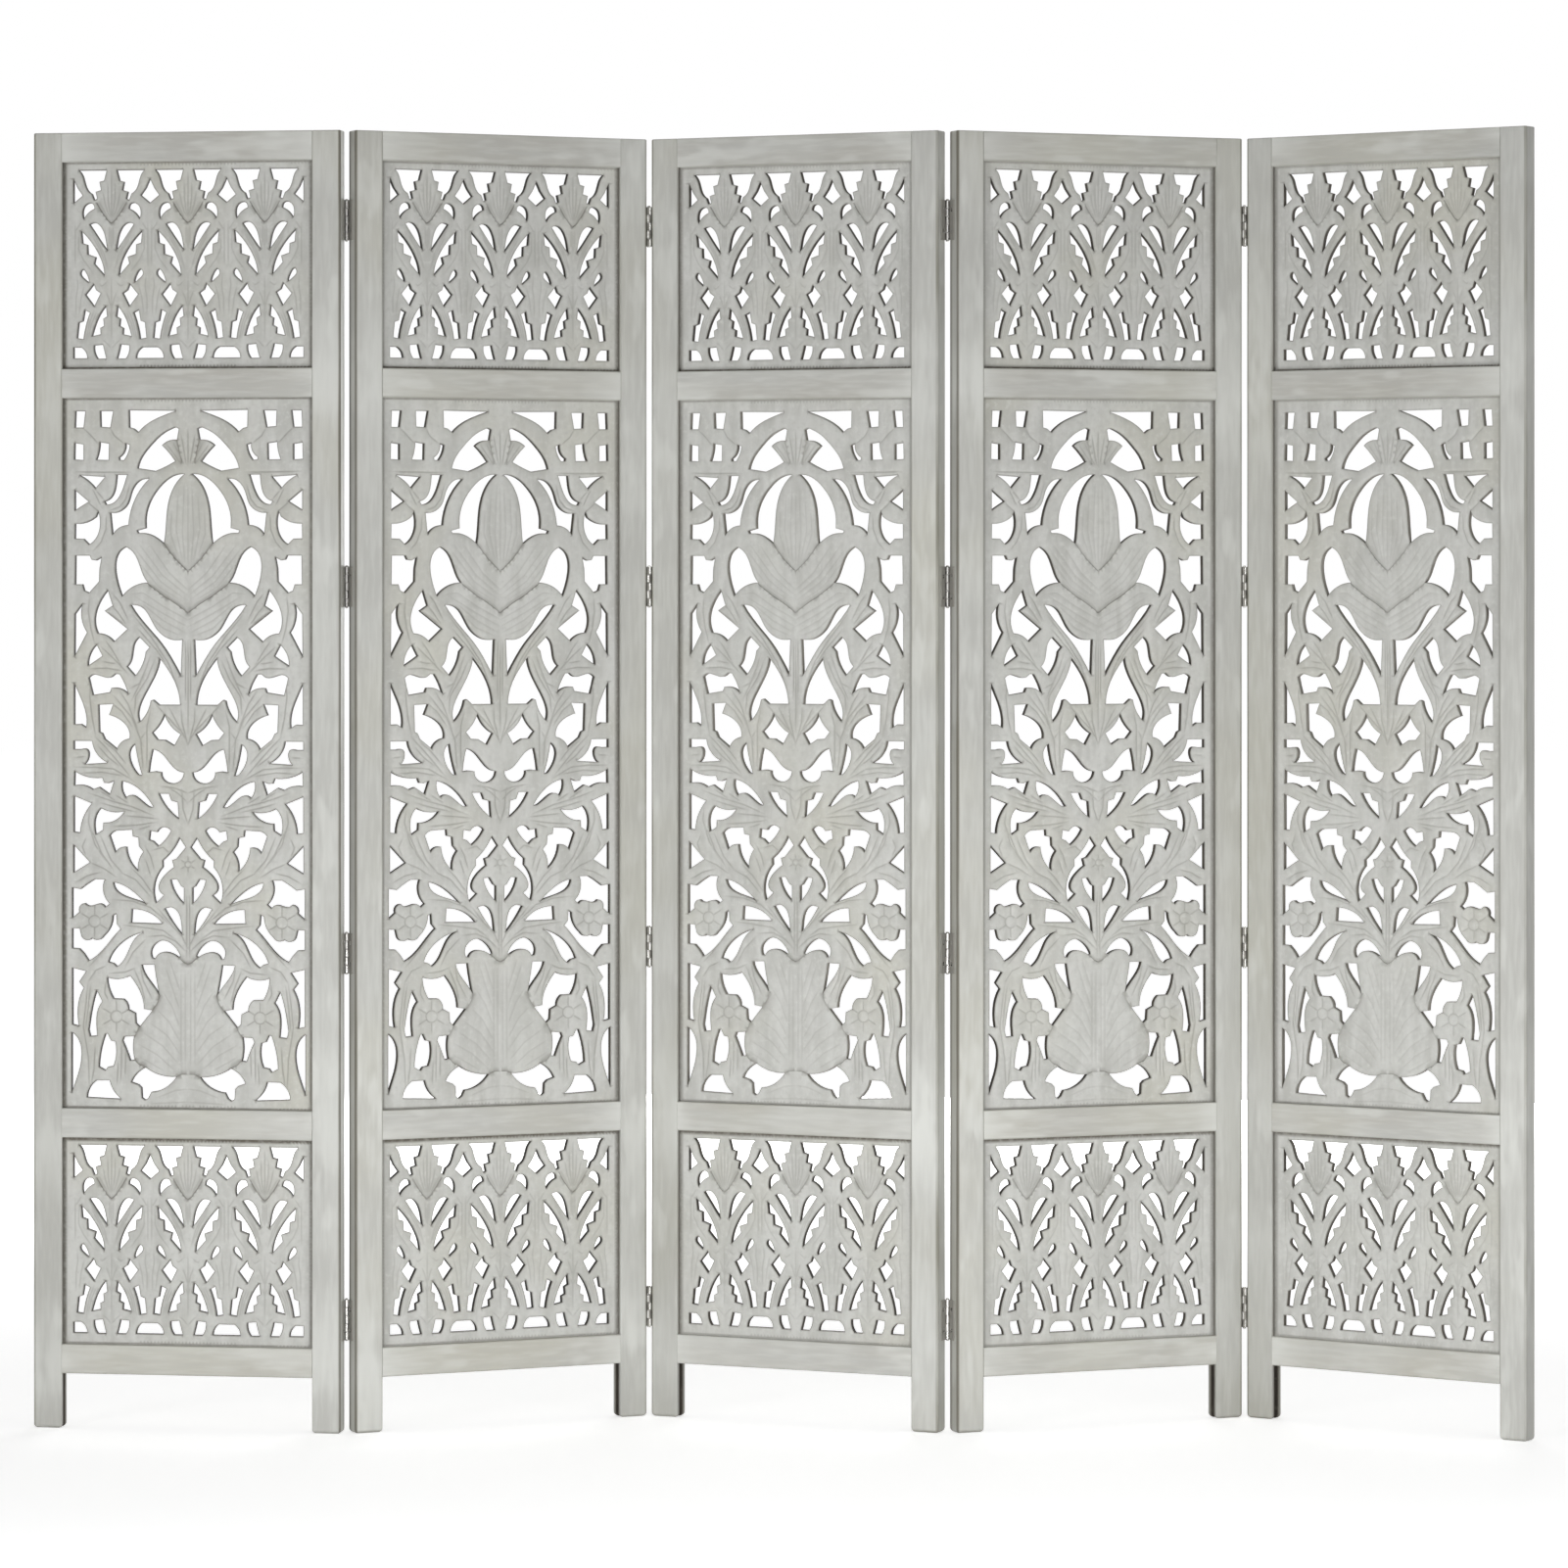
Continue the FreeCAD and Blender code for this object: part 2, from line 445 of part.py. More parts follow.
def plate_across(joint, share):
    """Depth in the leaf of a point on a hinge plate, a share of its width away from the pin."""
    pin_y = pin_in_leaf(joint, 1)[1]
    inward = -1 if pin_is_behind(joint) else 1
    return pin_y + inward * share * PLATE_WIDTH


def screw_places(joint, edge, level):
    """Points on the leaf's edge where a plate's screws enter, and the way they point."""
    edge_x = LEAF_WIDTH if edge > 0 else 0
    y = plate_across(joint, SCREW_ACROSS_PLATE_SHARE)
    foot = level - HINGE_HEIGHT / 2
    places = [vector(edge_x, y, foot + share * HINGE_HEIGHT) for share in SCREW_ALONG_PLATE_SHARES]
    return places, vector(-edge, 0, 0)


def screw_solid(place, inward, clearance):
    """A countersunk screw whose head is flush with the plate; a clearance makes it the hole instead."""
    head = SCREW_HEAD_RADIUS + clearance
    shank = SCREW_RADIUS + clearance
    tip_start = SCREW_LENGTH - SCREW_TIP_LENGTH
    profile = [vector(0, 0, 0), vector(head, 0, 0), vector(shank, 0, PLATE_THICKNESS),
               vector(shank, 0, tip_start), vector(0, 0, SCREW_LENGTH + clearance)]
    solid = Part.Face(polygon(profile)).revolve(vector(0, 0, 0), vector(0, 0, 1), 360)
    turn = FreeCAD.Rotation(vector(0, 0, 1), inward)
    solid.Placement = FreeCAD.Placement(place - inward * PLATE_THICKNESS, turn)
    return solid


def slotted_screw(place, inward):
    """A screw with a slot across its head."""
    half_slot = SCREW_SLOT_WIDTH / 2
    reach = SCREW_HEAD_RADIUS + OVERRUN
    outer = place - inward * (PLATE_THICKNESS + OVERRUN)
    inner = place - inward * (PLATE_THICKNESS - SCREW_SLOT_DEPTH)
    low = (min(outer.x, inner.x), place.y - reach, place.z - half_slot)
    high = (max(outer.x, inner.x), place.y + reach, place.z + half_slot)
    return screw_solid(place, inward, 0).cut(box(low, high))


def hinge_plate(joint, edge, level):
    """One leaf's half of a butt hinge: its plate on the stile's edge, with every other knuckle."""
    pin_x, pin_y = pin_in_leaf(joint, edge)
    foot = level - HINGE_HEIGHT / 2
    edge_x = LEAF_WIDTH if edge > 0 else 0
    far_y = plate_across(joint, 1)
    plate = box((min(edge_x, edge_x + edge * PLATE_THICKNESS), min(pin_y, far_y), foot),
                (max(edge_x, edge_x + edge * PLATE_THICKNESS), max(pin_y, far_y), foot + HINGE_HEIGHT))
    own_first = 0 if edge > 0 else 1
    for number in range(KNUCKLE_COUNT):
        if number % 2 == own_first:
            plate = plate.fuse(knuckle(pin_x, pin_y, foot, number, KNUCKLE_RADIUS, 0))
        else:
            notch_radius = KNUCKLE_RADIUS + NOTCH_CLEARANCE
            plate = plate.cut(knuckle(pin_x, pin_y, foot, number, notch_radius, KNUCKLE_GAP))
    bore = Part.makeCylinder(BORE_RADIUS, HINGE_HEIGHT + 2 * OVERRUN, vector(pin_x, pin_y, foot - OVERRUN))
    plate = plate.cut(bore)
    places, inward = screw_places(joint, edge, level)
    for place in places:
        plate = plate.cut(screw_solid(place, inward, SCREW_CLEARANCE))
    return plate.removeSplitter()


def hinge_pin(joint, level):
    """A pin with a cap at each end, in the frame of the leaf on the joint's left."""
    pin_x, pin_y = pin_in_leaf(joint, 1)
    shoulder = PIN_CAP_HEIGHT * CAP_SHOULDER_SHARE
    crown = PIN_CAP_RADIUS * CAP_CROWN_SHARE
    length = HINGE_HEIGHT
    profile = [vector(0, 0, -PIN_CAP_HEIGHT), vector(crown, 0, -PIN_CAP_HEIGHT),
               vector(PIN_CAP_RADIUS, 0, -shoulder), vector(PIN_CAP_RADIUS, 0, 0),
               vector(PIN_RADIUS, 0, 0), vector(PIN_RADIUS, 0, length),
               vector(PIN_CAP_RADIUS, 0, length), vector(PIN_CAP_RADIUS, 0, length + shoulder),
               vector(crown, 0, length + PIN_CAP_HEIGHT), vector(0, 0, length + PIN_CAP_HEIGHT)]
    pin = Part.Face(polygon(profile)).revolve(vector(0, 0, 0), vector(0, 0, 1), 360)
    pin.translate(vector(pin_x, pin_y, level - HINGE_HEIGHT / 2))
    return pin


def hinged_edges(leaf):
    """The joints of a leaf, each with the edge it is on: (joint, 1 for right or -1 for left)."""
    edges = []
    if leaf > 0:
        edges.append((leaf - 1, -1))
    if leaf < LEAF_COUNT - 1:
        edges.append((leaf, 1))
    return edges


# Leaves

def leaf_pieces(leaf, upper, main, lower):
    """All pieces of one leaf in its own frame, by node name."""
    prefix = "leaf_%d_" % (leaf + 1)
    stiles = {-1: stile(-1), 1: stile(1)}
    plates = []
    screws = []
    for joint, edge in hinged_edges(leaf):
        for level in hinge_levels():
            plates.append(hinge_plate(joint, edge, level))
            places, inward = screw_places(joint, edge, level)
            for place in places:
                screws.append(slotted_screw(place, inward))
                stiles[edge] = stiles[edge].cut(screw_solid(place, inward, SCREW_CLEARANCE))
    top_rail_bottom = LEAF_HEIGHT - RAIL_HEIGHT
    return {
        prefix + "left_stile": stiles[-1],
        prefix + "right_stile": stiles[1],
        prefix + "top_rail": rail(top_rail_bottom, [-1]),
        prefix + "upper_rail": rail(UPPER_OPENING_BOTTOM - RAIL_HEIGHT, [-1, 1]),
        prefix + "lower_rail": rail(MAIN_OPENING_BOTTOM - RAIL_HEIGHT, [-1, 1]),
        prefix + "bottom_rail": rail(LEG_LENGTH, [1]),
        prefix + "upper_panel": upper.copy(),
        prefix + "main_panel": main.copy(),
        prefix + "lower_panel": lower.copy(),
        prefix + "hinge_plates": Part.makeCompound(plates),
        prefix + "hinge_screws": Part.makeCompound(screws),
    }


def leaf_placements():
    """Where each leaf stands, chained from pin to pin from the left, before centring."""
    placements = []
    for leaf, angle in enumerate(LEAF_ANGLES_DEG):
        turn = FreeCAD.Rotation(vector(0, 0, 1), angle)
        start = vector(0, 0, 0)
        if leaf > 0:
            pin = placements[-1].multVec(vector(*pin_in_leaf(leaf - 1, 1), 0))
            start = pin - turn.multVec(vector(*pin_in_leaf(leaf - 1, -1), 0))
        placements.append(FreeCAD.Placement(start, turn))
    return placements


def placed(shape, placement):
    moved = shape.copy()
    moved.Placement = placement.multiply(moved.Placement)
    return moved


def build():
    """Every piece by node name, with the standing screen's middle over the origin."""
    upper = carved_panel(SMALL_OPENING_HEIGHT, UPPER_OPENING_BOTTOM, small_panel_holes())
    main = carved_panel(MAIN_OPENING_HEIGHT, MAIN_OPENING_BOTTOM, main_panel_holes())
    lower = carved_panel(SMALL_OPENING_HEIGHT, LOWER_OPENING_BOTTOM, small_panel_holes())
    placements = leaf_placements()
    pieces = {}
    for leaf, placement in enumerate(placements):
        for name, shape in leaf_pieces(leaf, upper, main, lower).items():
            pieces[name] = placed(shape, placement)
    for joint in range(LEAF_COUNT - 1):
        pins = Part.makeCompound([hinge_pin(joint, level) for level in hinge_levels()])
        pieces["hinge_pins_%d_%d" % (joint + 1, joint + 2)] = placed(pins, placements[joint])
    extent = Part.makeCompound(list(pieces.values())).optimalBoundingBox(False, False)
    shift = vector(-extent.Center.x, -extent.Center.y, 0)
    for shape in pieces.values():
        shape.translate(shift)
    pin_points = []
    for joint in range(LEAF_COUNT - 1):
        pin_points.append(placements[joint].multVec(vector(*pin_in_leaf(joint, 1), 0)) + shift)
    return pieces, pin_points


PIECES, PIN_POINTS = build()

os.makedirs("parts", exist_ok=True)
for piece_name, piece in PIECES.items():
    piece.exportStep("parts/%s.step" % piece_name)
for left_leaf, point in enumerate(PIN_POINTS, 1):
    print("pin between leaves %d and %d: x %.3f y %.3f" % (left_leaf, left_leaf + 1, point.x, point.y))
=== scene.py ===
import json
import math

import bmesh
import bpy
import numpy as np
from mathutils import Matrix, Vector, kdtree, noise
from mathutils.geometry import delaunay_2d_cdt

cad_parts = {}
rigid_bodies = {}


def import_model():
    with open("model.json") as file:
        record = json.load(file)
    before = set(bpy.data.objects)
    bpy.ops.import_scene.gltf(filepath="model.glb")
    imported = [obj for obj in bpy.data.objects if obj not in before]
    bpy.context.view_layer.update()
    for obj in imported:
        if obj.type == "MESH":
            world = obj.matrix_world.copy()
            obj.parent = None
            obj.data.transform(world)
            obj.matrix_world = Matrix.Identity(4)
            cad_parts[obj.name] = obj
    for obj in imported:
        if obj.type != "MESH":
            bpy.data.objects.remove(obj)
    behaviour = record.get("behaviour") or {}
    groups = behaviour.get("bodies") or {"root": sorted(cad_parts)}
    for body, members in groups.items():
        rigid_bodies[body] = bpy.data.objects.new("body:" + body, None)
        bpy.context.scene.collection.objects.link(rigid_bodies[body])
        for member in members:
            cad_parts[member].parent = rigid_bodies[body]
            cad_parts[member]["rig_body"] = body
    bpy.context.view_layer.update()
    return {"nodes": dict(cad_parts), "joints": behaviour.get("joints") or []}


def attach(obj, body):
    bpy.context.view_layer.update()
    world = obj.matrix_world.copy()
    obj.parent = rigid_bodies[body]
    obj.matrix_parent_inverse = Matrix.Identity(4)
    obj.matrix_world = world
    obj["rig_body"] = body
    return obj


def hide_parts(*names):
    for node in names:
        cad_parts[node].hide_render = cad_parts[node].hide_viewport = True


# A carved wooden folding screen.
# Sizes are in millimetres unless a comment says otherwise. Each leaf is built in its own frame,
# x along its width from its left edge, y from its front face to its back face, z up from the floor,
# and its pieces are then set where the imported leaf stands.

MM = 0.001

# Leaf frame
LEAF_WIDTH = 400.0
LEAF_HEIGHT = 1650.0
FRAME_THICKNESS = 25.0
STILE_WIDTH = 37.0
RAIL_HEIGHT = 37.5
LEG_LENGTH = 70.0
SMALL_OPENING_HEIGHT = 263.0
LEAF_ANGLES_DEG = (-9.0, 23.5, -24.0, 21.0, -34.0)
LEAF_GAP = 4.0
FOLDED_GAP = 3.6

# Panels in their groove, and the rail tongues
PANEL_THICKNESS = 9.5
PANEL_FRONT = 7.75
GROOVE_FRONT = 7.5
GROOVE_WIDTH = 10.0
GROOVE_DEPTH = 10.0
TONGUE_SIDE_CLEARANCE = 0.1
TONGUE_LENGTH = 9.7
CARVING_BORDER = 13.0
MOTIF_COUNT = 3

# Rounding, thinned paint, grime, painted shade and hand-planed unevenness of the frame pieces
OUTER_ROUNDING = 2.5
INNER_ROUNDING = 1.0
MOUTH_ROUNDING = 0.5
FOOT_ROUNDING = 5.0
TOP_ROUNDING = 1.6
RAIL_END_CHAMFER = 0.18
WEAR_FADE = 1.2
# Thinned paint and painted shade on the outer edge faces of the stiles
EDGE_WEAR_AND_SHADE_SHARE = 0.3
SIDE_GRIME_AND_SHADE_REACH = 2.9
ARRIS_DIRT_REACH = 2.0
EDGE_SHADE_REACH = 11.0
# Grime along the front arris and painted shade deep in the gap, on the left and right outer edge of each leaf
LEFT_EDGE_GRIME_AND_SHADE_SHARES = (0.0, 0.9, 0.0, 0.9, 0.0)
RIGHT_EDGE_GRIME_AND_SHADE_SHARES = (0.85, 0.0, 0.0, 0.0, 0.0)
# Painted shade on one stile of each leaf, growing from its top to its foot
FOOT_SHADE_SHARE = 0.45
TOP_SHADE_SHARE = 0.08
SQUEEZE_REACH = 6.5
STATION_STEP = 30.0
SIDE_WAVE = 0.15
FACE_WAVE = 0.18
WAVE_LENGTH = 140.0
ARC_STEPS = 4
SMEAR_REACH = 75.0
RAIL_SMEAR_REACH = 45.0
RAIL_END_SMEAR_SHARE = 0.6
RAIL_SMEAR_SHARES = (0.8, 1.0, 0.5, 0.1)
SMEAR_BASE_SHARE = 0.7

# Noise swings about zero, and this lifts it into the range from zero to one
NOISE_MIDDLE_SHARE = 0.5

# Seeds that keep the noise of pieces, sides and faces apart
LEAF_SEED_STEP = 10.0
RAIL_SEED = 0.3
STILE_SEED = 6.4
SMEAR_SEED = 0.5
SIDE_SEEDS = (0.0, 1.7)
FACE_SEEDS = (3.1, 4.9)

# Hinges
HINGES_PER_JOINT = 4
HINGE_HEIGHT = 51.0
TOP_HINGE_DROP = 113.0
BOTTOM_HINGE_RISE = 142.0
KNUCKLE_COUNT = 5
KNUCKLE_RADIUS = 2.65
KNUCKLE_GAP = 0.3
KNUCKLE_CHAMFER = 0.7
KNUCKLE_WASH_SHARE = 0.2
BORE_RADIUS = 1.35
CURL_FOOT = 3.0
PLATE_WIDTH = 18.0
PLATE_THICKNESS = 1.2
PLATE_CHAMFER = 0.35
PIN_RADIUS = 1.3
PIN_CAP_RADIUS = 2.2
PIN_CAP_HEIGHT = 1.6
SCREW_HEAD_RADIUS = 2.7
SCREW_RADIUS = 1.5
SCREW_LENGTH = 15.0
SCREW_TIP_LENGTH = 3.0
SCREW_CROWN = 0.2
SCREW_SLOT_WIDTH = 0.8
SCREW_SLOT_DEPTH = 0.5
TURNED_STEPS = 20
CURL_STEPS = 22
CURL_END_DEG = 463.0
SCREW_ALONG_PLATE_SHARES = (0.24, 0.76)
SCREW_ACROSS_PLATE_SHARE = 0.62
CAP_SHOULDER_SHARE = 0.5
CAP_CROWN_SHARE = 0.6

# Carving: how fine the boards are meshed, how deep the relief is, and how much grime and painted shade it
# holds
OUTLINE_STEP = 3.0
INSET = 1.8
INSET_CLEARANCE_SHARE = 0.7
FACING_SHARE = 0.9
GRID_STEP = 4.6
GRID_CLEARANCE = 2.3
ROW_CLEARANCE = 0.75
ROW_STEP = 3.0
SAME_POINT = 0.001
CORNER_TURN_DEG = 25.0
SHARP_EDGE_DEG = 38.0
EDGE_DROP = 0.7
CROWN_DROP = 0.35
CROWN_REACH = 6.0
GROOVE_CUT = 0.6
GROOVE_HALF = 1.6
GROOVE_TAPER_SHARE = 0.2
GROOVE_END_SHARE = 0.3
VALLEY_DROP = 0.5
VALLEY_REACH = 6.0
STEP_DROP = 1.6
STEP_WALL = 0.8
STEP_RAMP = 18.0
GOUGE_DROP = 0.15
GOUGE_LENGTH = 9.0
GRIME_AND_SHADE_REACH = 3.2
RIM_GRIME_AND_SHADE_SHARE = 0.6
GROOVE_GRIME_AND_SHADE_SHARE = 0.4
MAIN_LINE_SHARE = 0.8
VEIN_SHARE = 0.42
SMALL_LINE_SHARE = 0.65
STEM_LINE_SHARE = 0.5
STEP_GRIME_AND_SHADE_SHARE = 0.45
STEP_GRIME_AND_SHADE_REACH = 2.2
STEP_SHADE_SHARE = 0.16
SIDE_BORDER_GRIME_AND_SHADE_SHARE = 0.62
FAINT_BORDER_GRIME_AND_SHADE_SHARE = 0.45
MAIN_BORDER_GRIME_AND_SHADE_SHARE = 0.5
DARK_BORDER_GRIME_AND_SHADE_SHARE = 1.0
DARK_BORDER_REACH = 5.4

# How much grime and painted shade the carving holds, leaf by leaf
LEAF_GRIME_AND_SHADE_SHARES = (1.4, 1.15, 1.0, 1.0, 0.9)
# Rails from the bottom up: name, and whether there is a groove below and above
RAILS = (("bottom_rail", False, True), ("lower_rail", True, True), ("upper_rail", True, True),
         ("top_rail", True, False))

# How closely a pattern that follows the grain is packed along x, y and z
NO_GRAIN = (1.0, 1.0, 1.0)
UPRIGHT_GRAIN = (7.0, 7.0, 0.8)
LEVEL_GRAIN = (0.8, 7.0, 7.0)
BOARD_GRAIN = (5.0, 5.0, 1.0)
WOOD_GRAIN = (8.0, 8.0, 1.0)

# The most that patterns are shifted from piece to piece, in metres
PIECE_SHIFT = 37.0

# Noise patterns: how far each follows the grain, its waves per metre, its detail and its roughness
FRAME_PATTERNS = {
    "brush": (1.0, 5.0, 4.0, 0.55),
    "streak": (1.0, 26.0, 3.0, 0.5),
    "cloud": (0.0, 7.0, 3.0, 0.55),
    "tint": (0.0, 3.2, 2.0, 0.55),
    "daub": (0.5, 12.0, 2.0, 0.55),
}
BOARD_PATTERNS = {
    "brush": (1.0, 11.0, 4.0, 0.55),
    "cloud": (0.0, 11.0, 4.0, 0.55),
    "tint": (0.0, 5.0, 2.0, 0.55),
    "speck": (0.0, 150.0, 4.0, 0.55),
}
WOOD_PATTERNS = {
    "grain": (1.0, 18.0, 5.0, 0.65),
    "smear": (0.0, 70.0, 4.0, 0.55),
}
STEEL_PATTERNS = {
    "patina": (0.0, 70.0, 4.0, 0.55),
    "rub_and_glint": (0.0, 60.0, 3.0, 0.55),
    "speck": (0.0, 700.0, 3.0, 0.55),
}

# Spans of patterns and of their sums, and what they are turned into
FULL_SPAN = (0.0, 1.0)
MIDDLE_SPAN = (0.3, 0.7)
SMEAR_SPAN, SMEAR_RANGE = (0.85, 1.1), (0.1, 1.0)
WEAR_AND_SHADE_SPAN, WEAR_AND_SHADE_RANGE = (0.8, 1.2), (0.3, 0.9)
BOARD_GRIME_AND_SHADE_SPAN, BOARD_GRIME_AND_SHADE_RANGE = (0.25, 0.6), (0.7, 1.0)
RUB_SPAN = (0.48, 0.72)
KNUCKLE_GLINT_SPAN = (0.2, 0.8)
WASH_SPAN = (0.2, 0.5)
FRAME_ROUGHNESS = (0.5, 0.66)
BOARD_ROUGHNESS = (0.55, 0.72)
WOOD_ROUGHNESS = (0.7, 0.9)
STEEL_ROUGHNESS = (0.2, 0.4)

# Shares of grime and painted shade, rubbing and wash, and how metallic bare and washed steel are
STEEL_METALLIC, WASH_METALLIC = 0.9, 0.1
WASH_ROUGHNESS_SHARE = 0.25
WASH_PATINA_SHARE = 0.3
FRAME_GRIME_AND_SHADE_SHARE = 0.9
PIN_RUB_SHARE = 0.6
SCREW_RUB_SHARE = 0.8

# Bumps: the shares of two patterns in them, their depth in metres and their strength
FRAME_BRUSH_SHARE, FRAME_STREAK_SHARE = 0.7, 0.6
BOARD_BRUSH_SHARE, BOARD_SPECK_SHARE = 0.6, 0.5
FRAME_BUMP = (0.0004, 0.3)
BOARD_BUMP = (0.0005, 0.4)
WOOD_BUMP = (0.0005, 0.6)
STEEL_BUMP = (0.00005, 0.25)

# Floor, world and lamps, with lengths in metres
FLOOR_HALF = 30.0
FLOOR_COLOUR = (0.9, 0.9, 0.9, 1.0)
GLOW_REACH, GLOW_RANGE = (0.9, 3.2), (0.56, 0.765)
AMBIENT = (0.27, 0.27, 0.27, 1.0)
WHITE = (1.0, 1.0, 1.0, 1.0)
# Lamps: name, place, target, width and height, and power in watts
LAMPS = (
    ("front", (0.25, -1.8, 0.15), (0.1, 0.0, 0.3), (2.8, 0.5), 25.0),
    ("key", (-4.0, -4.8, 0.8), (0.0, 0.0, 0.6), (1.6, 1.6), 86.0),
    ("fill", (4.2, -4.6, 0.7), (0.0, 0.0, 0.6), (1.8, 1.8), 48.0),
    ("rear", (0.6, 4.8, 0.9), (0.0, 0.0, 0.7), (2.4, 2.4), 140.0),
)

# Camera: focal length and height of the horizon in pixels of the photo, place in metres
PHOTO_SIZE = 1601
FOCAL_PIXELS = 6096.0
HORIZON_PIXEL = 592.4
CAMERA_PLACE = (-0.0568, -7.607, 1.0803)
CAMERA_TURN = -0.0084
SENSOR_WIDTH = 36.0
CLIP_END = 100.0

# Worked out from the sizes above
OPENING_WIDTH = LEAF_WIDTH - 2 * STILE_WIDTH
MAIN_OPENING_HEIGHT = LEAF_HEIGHT - LEG_LENGTH - 4 * RAIL_HEIGHT - 2 * SMALL_OPENING_HEIGHT
LOWER_OPENING_BOTTOM = LEG_LENGTH + RAIL_HEIGHT
MAIN_OPENING_BOTTOM = LOWER_OPENING_BOTTOM + SMALL_OPENING_HEIGHT + RAIL_HEIGHT
UPPER_OPENING_BOTTOM = MAIN_OPENING_BOTTOM + MAIN_OPENING_HEIGHT + RAIL_HEIGHT
GROOVE_BACK = GROOVE_FRONT + GROOVE_WIDTH
PANEL_BACK = PANEL_FRONT + PANEL_THICKNESS
TONGUE_FRONT = GROOVE_FRONT + TONGUE_SIDE_CLEARANCE
TONGUE_BACK = GROOVE_BACK - TONGUE_SIDE_CLEARANCE
MOTIF_WIDTH = (OPENING_WIDTH - 2 * CARVING_BORDER) / MOTIF_COUNT
KNUCKLE_PITCH = (HINGE_HEIGHT + KNUCKLE_GAP) / KNUCKLE_COUNT
PIN_OUT = LEAF_GAP / 2
OPENING_RIGHT = LEAF_WIDTH - STILE_WIDTH
LEAF_COUNT = len(LEAF_ANGLES_DEG)
RAIL_BOTTOMS = (LEG_LENGTH, MAIN_OPENING_BOTTOM - RAIL_HEIGHT, UPPER_OPENING_BOTTOM - RAIL_HEIGHT,
                LEAF_HEIGHT - RAIL_HEIGHT)

